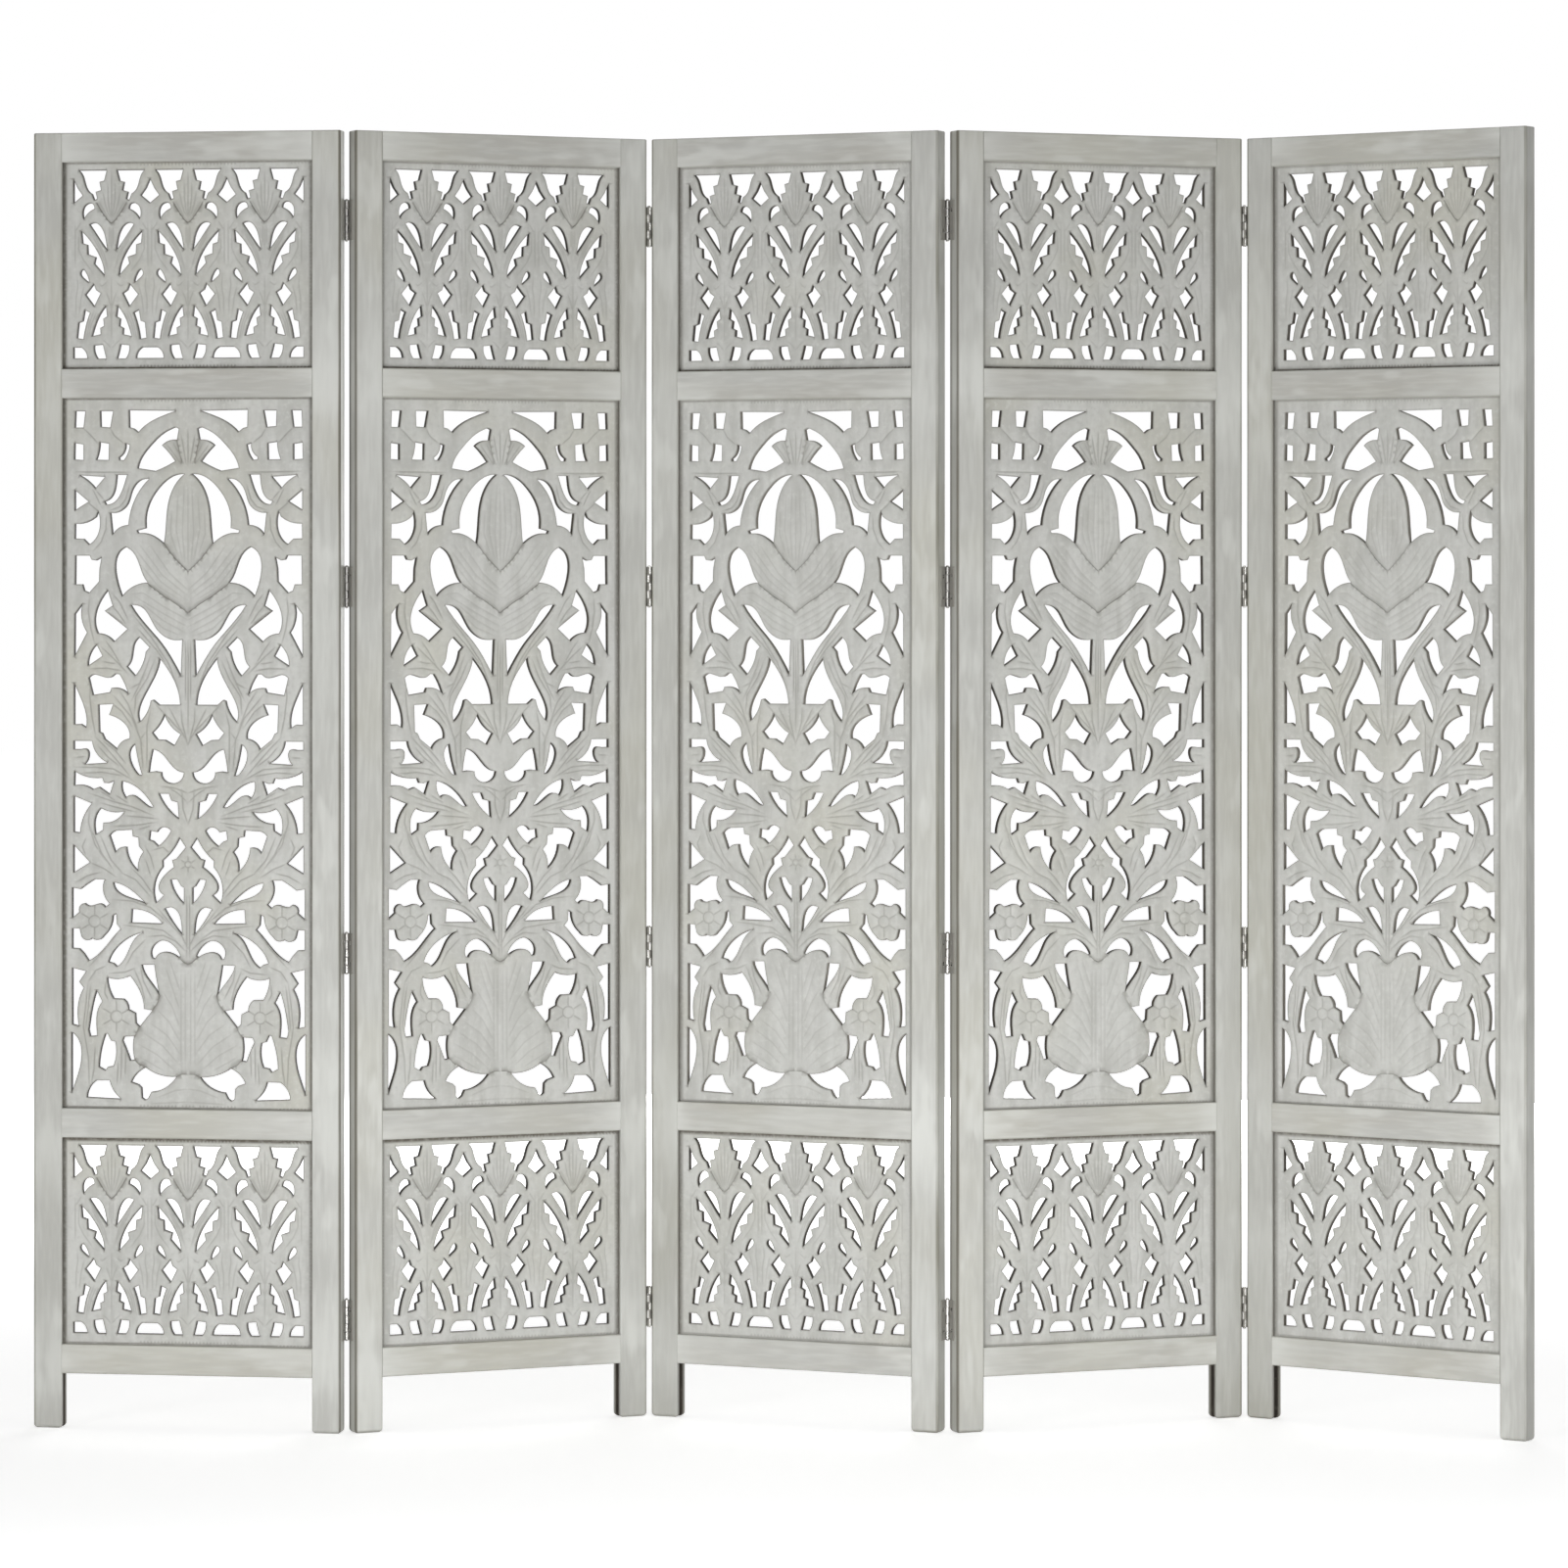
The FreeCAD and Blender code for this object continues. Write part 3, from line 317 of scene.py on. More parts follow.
# Lines cut into the right half of a main panel, mirrored on its middle line:
# across in shares of half the opening's width, down in shares of its height.
MAIN_GROOVE_SHARES = (
    # lattice and crossings in the corner over the arch
    [(0.835, 0.043), (0.79, 0.05), (0.725, 0.063)], [(0.62, 0.043), (0.59, 0.053), (0.515, 0.0635)],
    [(0.47, 0.1045), (0.9, 0.1035)], [(0.47, 0.122), (0.5, 0.142), (0.55, 0.153), (0.63, 0.158)],
    [(0.735, 0.13), (0.675, 0.1425)], [(0.765, 0.128), (0.7, 0.151)], [(0.8, 0.147), (0.722, 0.159)],
    [(0.655, 0.165), (0.66, 0.185), (0.7, 0.203), (0.76, 0.215)],
    # crown
    [(0.0, 0.095), (0.0, 0.045)], [(0.015, 0.093), (0.055, 0.052)], [(0.035, 0.093), (0.12, 0.062)],
    [(0.06, 0.092), (0.165, 0.066)],
    # stem, branch and the leaves beside the lower petal
    [(0.02, 0.342), (0.02, 0.425)], [(0.0, 0.342), (0.0, 0.47)], [(0.45, 0.288), (0.42, 0.302)],
    [(0.44, 0.305), (0.3, 0.335), (0.16, 0.372), (0.07, 0.412)],
    [(0.4, 0.325), (0.25, 0.355), (0.17, 0.376)], [(0.48, 0.312), (0.55, 0.287), (0.6, 0.276)],
    [(0.5, 0.318), (0.56, 0.302), (0.61, 0.292)], [(0.52, 0.317), (0.65, 0.3)],
    [(0.79, 0.28), (0.8, 0.3), (0.78, 0.325), (0.75, 0.345)],
    [(0.48, 0.388), (0.6, 0.366), (0.7, 0.35)], [(0.53, 0.378), (0.61, 0.354), (0.66, 0.342)],
    [(0.53, 0.384), (0.65, 0.38), (0.78, 0.381)], [(0.58, 0.374), (0.68, 0.371)],
    [(0.27, 0.37), (0.33, 0.395), (0.42, 0.42), (0.43, 0.445)],
    [(0.33, 0.378), (0.39, 0.402), (0.46, 0.408)], [(0.3, 0.362), (0.36, 0.392), (0.45, 0.425)],
    # leaves over the middle
    [(0.0, 0.49), (0.05, 0.455), (0.055, 0.436)], [(0.015, 0.482), (0.09, 0.456), (0.15, 0.436)],
    [(0.03, 0.474), (0.13, 0.455), (0.26, 0.431)], [(0.36, 0.49), (0.45, 0.45), (0.6, 0.418)],
    [(0.4, 0.468), (0.48, 0.431), (0.55, 0.412)], [(0.45, 0.462), (0.53, 0.441), (0.61, 0.43)],
    [(0.78, 0.4), (0.79, 0.42), (0.77, 0.45), (0.74, 0.476)],
    [(0.3, 0.44), (0.33, 0.462), (0.33, 0.52)], [(0.34, 0.47), (0.38, 0.48), (0.36, 0.525)],
    # long leaves at the middle
    [(0.46, 0.533), (0.58, 0.508), (0.66, 0.492), (0.75, 0.476)],
    [(0.5, 0.514), (0.58, 0.497), (0.68, 0.483)], [(0.55, 0.518), (0.64, 0.506), (0.72, 0.49)],
    [(0.44, 0.538), (0.6, 0.522), (0.75, 0.5195), (0.9, 0.52)],
    [(0.52, 0.532), (0.7, 0.5265), (0.86, 0.5285)], [(0.83, 0.505), (0.9, 0.506)],
    [(0.0, 0.556), (0.1, 0.549), (0.22, 0.546)], [(0.01, 0.568), (0.08, 0.556), (0.15, 0.549)],
    [(0.0, 0.6), (0.04, 0.578), (0.05, 0.55)],
    [(0.27, 0.588), (0.45, 0.575), (0.62, 0.567), (0.8, 0.556)],
    [(0.42, 0.5825), (0.58, 0.576), (0.7, 0.57)], [(0.48, 0.57), (0.58, 0.559)],
    [(0.58, 0.567), (0.7, 0.554)], [(0.25, 0.592), (0.38, 0.5895), (0.51, 0.588)],
    [(0.25, 0.597), (0.42, 0.601), (0.6, 0.603)], [(0.3, 0.602), (0.4, 0.6075)],
    # leaves under the middle
    [(0.52, 0.67), (0.62, 0.65), (0.67, 0.63), (0.7, 0.617)],
    [(0.6, 0.664), (0.69, 0.642), (0.78, 0.606)],
    [(0.66, 0.652), (0.75, 0.628), (0.8, 0.598), (0.79, 0.58)],
    [(0.58, 0.674), (0.68, 0.662), (0.79, 0.654)], [(0.3, 0.702), (0.42, 0.678), (0.54, 0.668)],
    [(0.28, 0.698), (0.37, 0.676), (0.45, 0.662)], [(0.27, 0.664), (0.3, 0.645), (0.34, 0.632)],
    [(0.3, 0.672), (0.34, 0.65)], [(0.15, 0.64), (0.2, 0.632), (0.28, 0.636)],
    [(0.82, 0.62), (0.85, 0.632), (0.82, 0.645)], [(0.7, 0.668), (0.8, 0.672), (0.9, 0.682)],
    # stems over the vase
    [(0.012, 0.7), (0.012, 0.79)], [(0.0, 0.775), (0.05, 0.757), (0.12, 0.744), (0.24, 0.718)],
    [(0.15, 0.74), (0.3, 0.717), (0.45, 0.708), (0.6, 0.706)],
    [(0.1, 0.762), (0.2, 0.749), (0.4, 0.744), (0.52, 0.742)],
    [(0.02, 0.778), (0.1, 0.764), (0.2, 0.756), (0.32, 0.758)],
    [(0.34, 0.762), (0.44, 0.78), (0.5, 0.8)], [(0.56, 0.752), (0.66, 0.775), (0.79, 0.8)],
    [(0.6, 0.75), (0.7, 0.774), (0.82, 0.796)], [(0.66, 0.8), (0.74, 0.806), (0.8, 0.822)],
    [(0.42, 0.802), (0.5, 0.808), (0.62, 0.81)], [(0.38, 0.8), (0.36, 0.82), (0.29, 0.845)],
    [(0.43, 0.804), (0.37, 0.83), (0.34, 0.852)],
    # stems at the bottom
    [(0.8, 0.822), (0.82, 0.85), (0.84, 0.885), (0.8, 0.93), (0.79, 0.978)],
    [(0.78, 0.826), (0.8, 0.855), (0.82, 0.89)], [(0.745, 0.912), (0.755, 0.945), (0.775, 0.966)],
    [(0.535, 0.908), (0.535, 0.93), (0.54, 0.962)], [(0.5, 0.918), (0.505, 0.955)],
    [(0.56, 0.935), (0.57, 0.965)], [(0.66, 0.823), (0.67, 0.838), (0.64, 0.848)],
)

# Faint veins of the lily and the vase, in the same shares
MAIN_VEIN_SHARES = (
    # top petal of the lily
    [(0.0, 0.245), (0.0, 0.125)], [(0.02, 0.24), (0.045, 0.19), (0.03, 0.122)],
    [(0.04, 0.234), (0.095, 0.185), (0.08, 0.138)], [(0.075, 0.225), (0.14, 0.19), (0.13, 0.16)],
    # upper side petal
    [(0.0, 0.27), (0.15, 0.246), (0.3, 0.208)], [(0.015, 0.276), (0.2, 0.25), (0.39, 0.206)],
    [(0.03, 0.282), (0.22, 0.258), (0.42, 0.213)], [(0.05, 0.286), (0.24, 0.265), (0.37, 0.236)],
    # lower side petal
    [(0.0, 0.312), (0.2, 0.293), (0.36, 0.274), (0.46, 0.276)],
    [(0.0, 0.322), (0.2, 0.303), (0.42, 0.28)], [(0.02, 0.33), (0.2, 0.313), (0.37, 0.289)],
    [(0.06, 0.334), (0.2, 0.324), (0.29, 0.309)],
    # vase
    [(0.022, 0.806), (0.022, 0.945)], [(0.055, 0.806), (0.055, 0.94)],
    [(0.065, 0.834), (0.1, 0.815), (0.14, 0.794)], [(0.065, 0.86), (0.12, 0.833), (0.18, 0.8)],
    [(0.065, 0.885), (0.13, 0.855), (0.2, 0.836)], [(0.065, 0.905), (0.15, 0.878), (0.25, 0.86)],
    [(0.065, 0.922), (0.17, 0.896), (0.3, 0.88)], [(0.08, 0.936), (0.2, 0.912), (0.36, 0.893)],
    [(0.12, 0.944), (0.24, 0.925), (0.39, 0.91)], [(0.2, 0.946), (0.3, 0.936), (0.4, 0.926)],
    [(0.0, 0.972), (0.1, 0.974), (0.24, 0.984)], [(0.0, 0.99), (0.3, 0.993)],
)

# Where one carved piece lies over another: the board drops on the left hand, going along the line
MAIN_STEP_SHARES = (
    [(0.0, 0.245), (0.1, 0.228), (0.155, 0.216), (0.195, 0.205)],
    [(0.0, 0.303), (0.1, 0.29), (0.2, 0.279), (0.325, 0.262)], [(0.085, 0.0585), (0.045, 0.092)],
    [(0.0, 0.797), (0.04, 0.794), (0.085, 0.786)], [(0.288, 0.862), (0.25, 0.851), (0.23, 0.841)],
    [(0.435, 0.8985), (0.415, 0.892), (0.39, 0.885)], [(0.34, 0.9425), (0.4, 0.938), (0.43, 0.9315)],
    [(0.0, 0.952), (0.05, 0.952), (0.095, 0.955)],
)

# Flowers of a main panel: place in the same shares, and radius
MAIN_FLOWERS = (((0.75, 0.737), 21.0), ((0.575, 0.871), 21.0), ((0.0, 0.656), 11.0))
FLOWER_PETALS = 6
FLOWER_RING_STEPS = 18
FLOWER_RING_SHARE = 0.36

# Veins of half a leaf of a small panel, mirrored on the motif's middle line:
# across in shares of half the motif's width, down in shares of the opening's height.
SMALL_VEIN_SHARES = (
    [(0.0, 0.285), (0.0, 0.05)], [(0.02, 0.275), (0.09, 0.18), (0.1, 0.1)],
    [(0.05, 0.27), (0.17, 0.2), (0.22, 0.145)], [(0.1, 0.265), (0.24, 0.22), (0.33, 0.19)],
)

# Faint lines of the crossing stems and of the lower leaf and its stems, in the same shares
SMALL_STEM_SHARES = (
    [(0.58, 0.315), (0.38, 0.375), (0.2, 0.44), (0.08, 0.52)], [(0.5, 0.355), (0.28, 0.43), (0.13, 0.51)],
    [(0.0, 0.32), (0.0, 0.42)], [(0.05, 0.31), (0.05, 0.4)], [(0.8, 0.29), (0.93, 0.33)],
    [(0.85, 0.34), (0.86, 0.42), (0.74, 0.47), (0.5, 0.53)], [(0.95, 0.3), (0.95, 0.5)],
    [(0.9, 0.55), (0.88, 0.6), (0.93, 0.66), (0.93, 0.74)], [(0.72, 0.6), (0.8, 0.66), (0.84, 0.73)],
    [(0.0, 0.56), (0.0, 0.86)], [(0.02, 0.7), (0.07, 0.66), (0.14, 0.63)], [(0.02, 0.75), (0.06, 0.72)],
    [(0.12, 0.58), (0.25, 0.6), (0.3, 0.59)], [(0.4, 0.73), (0.52, 0.78), (0.6, 0.85)],
    [(0.46, 0.72), (0.58, 0.78), (0.66, 0.86)], [(0.02, 0.9), (0.1, 0.88), (0.22, 0.86)],
)
SMALL_STEP_SHARES = (
    [(0.0, 0.297), (0.1, 0.285), (0.25, 0.245), (0.42, 0.19)],
)

for leftover in list(bpy.data.objects):
    bpy.data.objects.remove(leftover)
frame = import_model()


# Where the leaves and pins are

def pin_is_behind(joint):
    """Joints fold to the back and to the front in turn; the first one folds to the back."""
    return joint % 2 == 0


def pin_depth(joint):
    """Depth of a joint's pin in its leaves' frames."""
    return FRAME_THICKNESS + FOLDED_GAP / 2 if pin_is_behind(joint) else -FOLDED_GAP / 2


def hinged_edges(leaf):
    """The joints of a leaf, each with the edge it is on: (joint, 1 for right or -1 for left)."""
    edges = []
    if leaf > 0:
        edges.append((leaf - 1, -1))
    if leaf < LEAF_COUNT - 1:
        edges.append((leaf, 1))
    return edges


def leaf_matrix(leaf):
    """Where a leaf stands: turned by its angle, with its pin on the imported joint."""
    joint, edge = hinged_edges(leaf)[0]
    packed = {item["name"]: item["pos_m"] for item in frame["joints"]}
    pin = Vector(packed["fold_%d_%d" % (joint + 1, joint + 2)])
    x = LEAF_WIDTH + PIN_OUT if edge > 0 else -PIN_OUT
    turn = Matrix.Rotation(math.radians(LEAF_ANGLES_DEG[leaf]), 4, "Z")
    start = pin - turn @ Vector((x, pin_depth(joint), 0)) * MM
    start.z = 0
    return Matrix.Translation(start) @ turn


LEAF_MATRICES = [leaf_matrix(leaf) for leaf in range(LEAF_COUNT)]


def hinge_feet():
    """Heights of the lower ends of the hinges of one joint."""
    lowest = BOTTOM_HINGE_RISE - HINGE_HEIGHT / 2
    highest = LEAF_HEIGHT - TOP_HINGE_DROP - HINGE_HEIGHT / 2
    step = (highest - lowest) / (HINGES_PER_JOINT - 1)
    return [lowest + number * step for number in range(HINGES_PER_JOINT)]


# Materials

def screen_colour(red, green, blue):
    """A colour as it shows on a screen, 0 to 255, turned into the linear one that shaders take."""
    return tuple((((c / 255 + 0.055) / 1.055) ** 2.4 if c > 10 else c / 255 / 12.92)
                 for c in (red, green, blue)) + (1.0,)


PAINT_MID = screen_colour(189, 189, 184)
PAINT_PALE = screen_colour(209, 210, 205)
PAINT_SMEAR = screen_colour(218, 219, 214)
PAINT_SHADE = screen_colour(181, 181, 176)
PAINT_WARM = screen_colour(179, 177, 170)
PAINT_BEIGE = screen_colour(192, 190, 175)
PAINT_COOL = screen_colour(200, 200, 196)
# Thin paint on the frame's edges and ends and on the walls of the holes, and painted shade on the shaded
# stiles and the outer edge faces
THIN_PAINT_AND_SHADE = screen_colour(128, 126, 113)
# Grime and painted shade, laid into cuts, recesses, rims and gaps
GRIME_AND_SHADE = screen_colour(92, 87, 77)
# Walls of the holes and the grooves: bare wood with painted shade, washed walls with painted light, and bare
# wood in deep painted shade
BARE_WITH_SHADE_WOOD = screen_colour(80, 74, 65)
BARE_WITH_SHADE_WOOD_DARK = screen_colour(46, 41, 36)
WASHED_AND_LIT_WOOD = screen_colour(160, 157, 149)
WASHED_AND_LIT_WOOD_DARK = screen_colour(116, 112, 103)
HALF_WASHED_AND_LIT_WOOD = screen_colour(116, 111, 102)
HALF_WASHED_AND_LIT_DARK = screen_colour(78, 73, 66)
DEEP_SHADE_WOOD = screen_colour(50, 45, 39)
DEEP_SHADE_WOOD_DARK = screen_colour(28, 25, 22)
OLD_STEEL = screen_colour(186, 185, 180)
OLD_STEEL_DARK = screen_colour(118, 115, 110)
STEEL_WASH = screen_colour(150, 148, 141)
# Dark steel of the knuckles, its darkness partly painted shade
DARK_STEEL_AND_SHADE = screen_colour(66, 64, 60)
# Bright steel: random polished patches on pins and screws, and a painted glint on the hinge knuckles
RUB_AND_GLINT_STEEL = screen_colour(232, 231, 228)

# Layers of colour: the pattern, the span of it that brings the layer out, the layer's share and colour
FRAME_LAYERS = (
    ("cloud", (0.4, 0.75), 0.5, PAINT_PALE),
    ("tint", (0.45, 0.7), 0.45, PAINT_BEIGE),
    ("streak", (0.4, 0.7), 0.35, PAINT_PALE),
    ("streak", (0.5, 0.25), 0.35, PAINT_SHADE),
    ("daub", (0.56, 0.7), 0.4, PAINT_SMEAR),
)
BOARD_LAYERS = (
    ("cloud", (0.4, 0.75), 0.5, PAINT_PALE),
    ("tint", (0.45, 0.75), 0.5, PAINT_BEIGE),
    ("speck", (0.5, 0.75), 0.5, PAINT_PALE),
    ("speck", (0.5, 0.25), 0.5, PAINT_SHADE),
)
WOOD_LAYERS = (
    ("smear", (0.55, 0.8), 0.45, THIN_PAINT_AND_SHADE),
)


class Nodes:
    """The nodes of a material or of the world."""

    def __init__(self, owner):
        owner.use_nodes = True
        self.nodes = owner.node_tree.nodes
        self.links = owner.node_tree.links

    def clear(self):
        self.nodes.clear()

    def add(self, kind, values=None, **settings):
        """A node with its settings; values are linked or set on its inputs, by name or number."""
        node = self.nodes.new(kind)
        for key, value in settings.items():
            setattr(node, key, value)
        for key, value in (values or {}).items():
            self.put(node, key, value)
        return node

    def put(self, node, key, value):
        if isinstance(value, bpy.types.NodeSocket):
            self.links.new(value, node.inputs[key])
        else:
            node.inputs[key].default_value = value

    def maths(self, operation, first, second):
        return self.add("ShaderNodeMath", {0: first, 1: second}, operation=operation).outputs[0]

    def times(self, first, second):
        return self.maths("MULTIPLY", first, second)

    def plus(self, first, second):
        return self.maths("ADD", first, second)

    def span(self, value, limits, result=FULL_SPAN):
        """A value's range between two limits, moved to another range and held inside it."""
        values = {"Value": value, "From Min": limits[0], "From Max": limits[1],
                  "To Min": result[0], "To Max": result[1]}
        return self.add("ShaderNodeMapRange", values, interpolation_type="SMOOTHSTEP").outputs["Result"]

    def mix(self, share, first, second):
        values = {0: share, 6: first, 7: second}
        return self.add("ShaderNodeMix", values, data_type="RGBA").outputs[2]

    def seen_rays(self):
        """One for a ray from the camera, also by way of a mirror or glass, and zero for other rays."""
        rays = self.add("ShaderNodeLightPath")
        total = rays.outputs["Is Camera Ray"]
        for name in ("Is Glossy Ray", "Is Transmission Ray"):
            total = self.maths("MAXIMUM", total, rays.outputs[name])
        return total


class Finish(Nodes):
    """A material made of noise patterns in the leaf's own coordinates.

    The coordinates are in metres, shifted from piece to piece so that no two look alike."""

    def __init__(self, name, patterns, grain=NO_GRAIN):
        self.material = bpy.data.materials.new(name)
        super().__init__(self.material)
        self.shader = self.nodes["Principled BSDF"]
        self.patterns = patterns
        self.grain = grain
        self.made = {}
        place = self.add("ShaderNodeAttribute", attribute_name="place").outputs["Vector"]
        shift = self.times(self.add("ShaderNodeObjectInfo").outputs["Random"], PIECE_SHIFT)
        self.place = self.add("ShaderNodeVectorMath", {0: place, 1: shift}, operation="ADD").outputs[0]

    def pattern(self, key):
        """One of the noise patterns, made when it is first asked for."""
        if key not in self.made:
            follow, scale, detail, roughness = self.patterns[key]
            stretch = tuple(amount ** follow for amount in self.grain)
            place = self.add("ShaderNodeMapping", {"Vector": self.place, "Scale": stretch}).outputs[0]
            values = {"Vector": place, "Scale": scale, "Detail": detail, "Roughness": roughness}
            self.made[key] = self.add("ShaderNodeTexNoise", values).outputs["Fac"]
        return self.made[key]

    def attribute(self, name):
        return self.add("ShaderNodeAttribute", attribute_name=name).outputs["Fac"]

    def grained(self, key, dark, pale):
        """A colour that runs from dark to pale with a pattern."""
        return self.mix(self.span(self.pattern(key), MIDDLE_SPAN), dark, pale)

    def marked(self, colour, mark, share, tint):
        """A colour with another one over it where the mesh carries a mark."""
        return self.mix(self.times(self.attribute(mark), share), colour, tint)

    def layered(self, colour, layers):
        """A colour with layers over it, each where its pattern brings it out."""
        for key, limits, share, tint in layers:
            colour = self.mix(self.times(self.span(self.pattern(key), limits), share), colour, tint)
        return colour

    def material_of(self, colour, roughness, height, bump):
        """The material, with colour, roughness and a bump linked to its shader."""
        values = {"Height": height, "Distance": bump[0], "Strength": bump[1]}
        self.put(self.shader, "Base Color", colour)
        self.put(self.shader, "Roughness", roughness)
        self.put(self.shader, "Normal", self.add("ShaderNodeBump", values).outputs[0])
        return self.material


def painted_frame(name, grain, body_colour):
    """Grey wash brushed over smooth wood; the brush marks follow the grain along the piece."""
    finish = Finish(name, FRAME_PATTERNS, grain)
    brush, streak, cloud, tint = (finish.pattern(key) for key in ("brush", "streak", "cloud", "tint"))
    colour = finish.layered(finish.grained("brush", PAINT_SHADE, body_colour), FRAME_LAYERS)
    patches = finish.span(finish.plus(brush, cloud), SMEAR_SPAN, SMEAR_RANGE)
    colour = finish.marked(colour, "smear", patches, PAINT_SMEAR)
    patches = finish.span(finish.plus(brush, tint), WEAR_AND_SHADE_SPAN, WEAR_AND_SHADE_RANGE)
    # Thin paint on the rounded edges and ends, and painted shade on the shaded stiles and the outer edge
    # faces
    colour = finish.marked(colour, "wear_and_painted_light", patches, THIN_PAINT_AND_SHADE)
    # Grime, and painted shade beside the panel's groove and deep in the gaps between the leaves
    colour = finish.marked(colour, "grime_and_shade", FRAME_GRIME_AND_SHADE_SHARE, GRIME_AND_SHADE)
    roughness = finish.span(brush, MIDDLE_SPAN, FRAME_ROUGHNESS)
    height = finish.plus(finish.times(brush, FRAME_BRUSH_SHARE), finish.times(streak, FRAME_STREAK_SHARE))
    return finish.material_of(colour, roughness, height, FRAME_BUMP)


def painted_carving(name):
    """The same wash on the carved boards, darker where grime, thin paint and painted shade lie in the cuts,
    beside the steps, at the rims and along the borders.
    """
    finish = Finish(name, BOARD_PATTERNS, BOARD_GRAIN)
    brush, cloud, speck = (finish.pattern(key) for key in ("brush", "cloud", "speck"))
    colour = finish.layered(finish.grained("brush", PAINT_SHADE, PAINT_COOL), BOARD_LAYERS)
    patches = finish.span(speck, BOARD_GRIME_AND_SHADE_SPAN, BOARD_GRIME_AND_SHADE_RANGE)
    # Grime and painted shade in the cuts, at the rims, beside the steps and along the borders
    colour = finish.marked(colour, "grime_and_shade", patches, GRIME_AND_SHADE)
    roughness = finish.span(cloud, MIDDLE_SPAN, BOARD_ROUGHNESS)
    height = finish.plus(finish.times(brush, BOARD_BRUSH_SHARE), finish.times(speck, BOARD_SPECK_SHARE))
    return finish.material_of(colour, roughness, height, BOARD_BUMP)


def bare_wood_and_painted_light(name, dark, pale):
    """Wood that the wash hardly reached: sawn holes and grooves; the colours it is given also carry painted
    shade and painted light.
    """
    finish = Finish(name, WOOD_PATTERNS, WOOD_GRAIN)
    grain = finish.pattern("grain")
    colour = finish.layered(finish.grained("grain", dark, pale), WOOD_LAYERS)
    return finish.material_of(colour, finish.span(grain, MIDDLE_SPAN, WOOD_ROUGHNESS), grain, WOOD_BUMP)


def old_steel(name, rubbed_share):
    """Dull steel, brighter in random polished patches."""
    finish = Finish(name, STEEL_PATTERNS)
    patina = finish.pattern("patina")
    rubbed_and_glinting = [("rub_and_glint", RUB_SPAN, rubbed_share, RUB_AND_GLINT_STEEL)]
    colour = finish.layered(finish.grained("patina", OLD_STEEL_DARK, OLD_STEEL), rubbed_and_glinting)
    roughness = finish.span(patina, MIDDLE_SPAN, STEEL_ROUGHNESS)
    finish.put(finish.shader, "Metallic", STEEL_METALLIC)
    return finish.material_of(colour, roughness, finish.pattern("speck"), STEEL_BUMP)


def hinge_steel(name):
    """Dark steel with painted shade, a painted glint on the half of each knuckle away from its plate,
    and grey where the wash was brushed over it.
    """
    finish = Finish(name, STEEL_PATTERNS)
    patina = finish.pattern("patina")
    # Dark steel, its darkness partly painted shade
    dark_steel_and_shade = finish.grained("patina", DARK_STEEL_AND_SHADE, OLD_STEEL_DARK)
    # A painted glint on the half of each knuckle away from its plate
    colour = finish.mix(finish.span(finish.attribute("wear_and_painted_light"), KNUCKLE_GLINT_SPAN), dark_steel_and_shade, RUB_AND_GLINT_STEEL)
    smear = finish.plus(finish.attribute("smear"), finish.times(patina, WASH_PATINA_SHARE))
    cover = finish.span(smear, WASH_SPAN)
    colour = finish.mix(cover, colour, STEEL_WASH)
    roughness = finish.span(patina, MIDDLE_SPAN, STEEL_ROUGHNESS)
    roughness = finish.plus(roughness, finish.times(cover, WASH_ROUGHNESS_SHARE))
    metallic = finish.span(cover, FULL_SPAN, (STEEL_METALLIC, WASH_METALLIC))
    finish.put(finish.shader, "Metallic", metallic)
    return finish.material_of(colour, roughness, finish.pattern("speck"), STEEL_BUMP)


UPRIGHT_PAINT = painted_frame("paint_upright", UPRIGHT_GRAIN, PAINT_MID)
LEVEL_PAINT = painted_frame("paint_level", LEVEL_GRAIN, PAINT_WARM)
CARVED_PAINT = painted_carving("paint_carving")
# Bare wood with painted shade, washed walls with painted light, and bare wood in deep painted shade
BARE_WITH_SHADE = bare_wood_and_painted_light("bare_wood_and_painted_light", BARE_WITH_SHADE_WOOD_DARK, BARE_WITH_SHADE_WOOD)
WASHED_AND_LIT = bare_wood_and_painted_light("washed_and_lit_wood", WASHED_AND_LIT_WOOD_DARK, WASHED_AND_LIT_WOOD)
HALF_WASHED_AND_LIT = bare_wood_and_painted_light("half_washed_and_lit_wood", HALF_WASHED_AND_LIT_DARK, HALF_WASHED_AND_LIT_WOOD)
BARE_IN_DEEP_SHADE = bare_wood_and_painted_light("deep_shade_wood", DEEP_SHADE_WOOD_DARK, DEEP_SHADE_WOOD)
HINGE_STEEL = hinge_steel("hinge_steel")
PIN_STEEL = old_steel("pin_steel", PIN_RUB_SHARE)
SCREW_STEEL = old_steel("screw_steel", SCREW_RUB_SHARE)


# Meshes and pieces

def new_mesh(name, points, faces, materials, face_materials, values=None):
    """A mesh from points in millimetres, with a material number for each face and values for its points."""
    mesh = bpy.data.meshes.new(name)
    mesh.from_pydata((np.asarray(points, float) * MM).tolist(), [], faces)
    for material in materials:
        mesh.materials.append(material)
    mesh.polygons.foreach_set("material_index", face_materials)
    for key, numbers in (values or {}).items():
        mesh.attributes.new(key, "FLOAT", "POINT").data.foreach_set("value", np.asarray(numbers, np.float32))
    place = np.asarray(points, np.float32) * MM
    mesh.attributes.new("place", "FLOAT_VECTOR", "POINT").data.foreach_set("vector", place.ravel())
    work = bmesh.new()
    work.from_mesh(mesh)
    bmesh.ops.recalc_face_normals(work, faces=work.faces)
    work.to_mesh(mesh)
    work.free()
    mesh.polygons.foreach_set("use_smooth", [True] * len(mesh.polygons))
    mesh.set_sharp_from_angle(angle=math.radians(SHARP_EDGE_DEG))
    return mesh


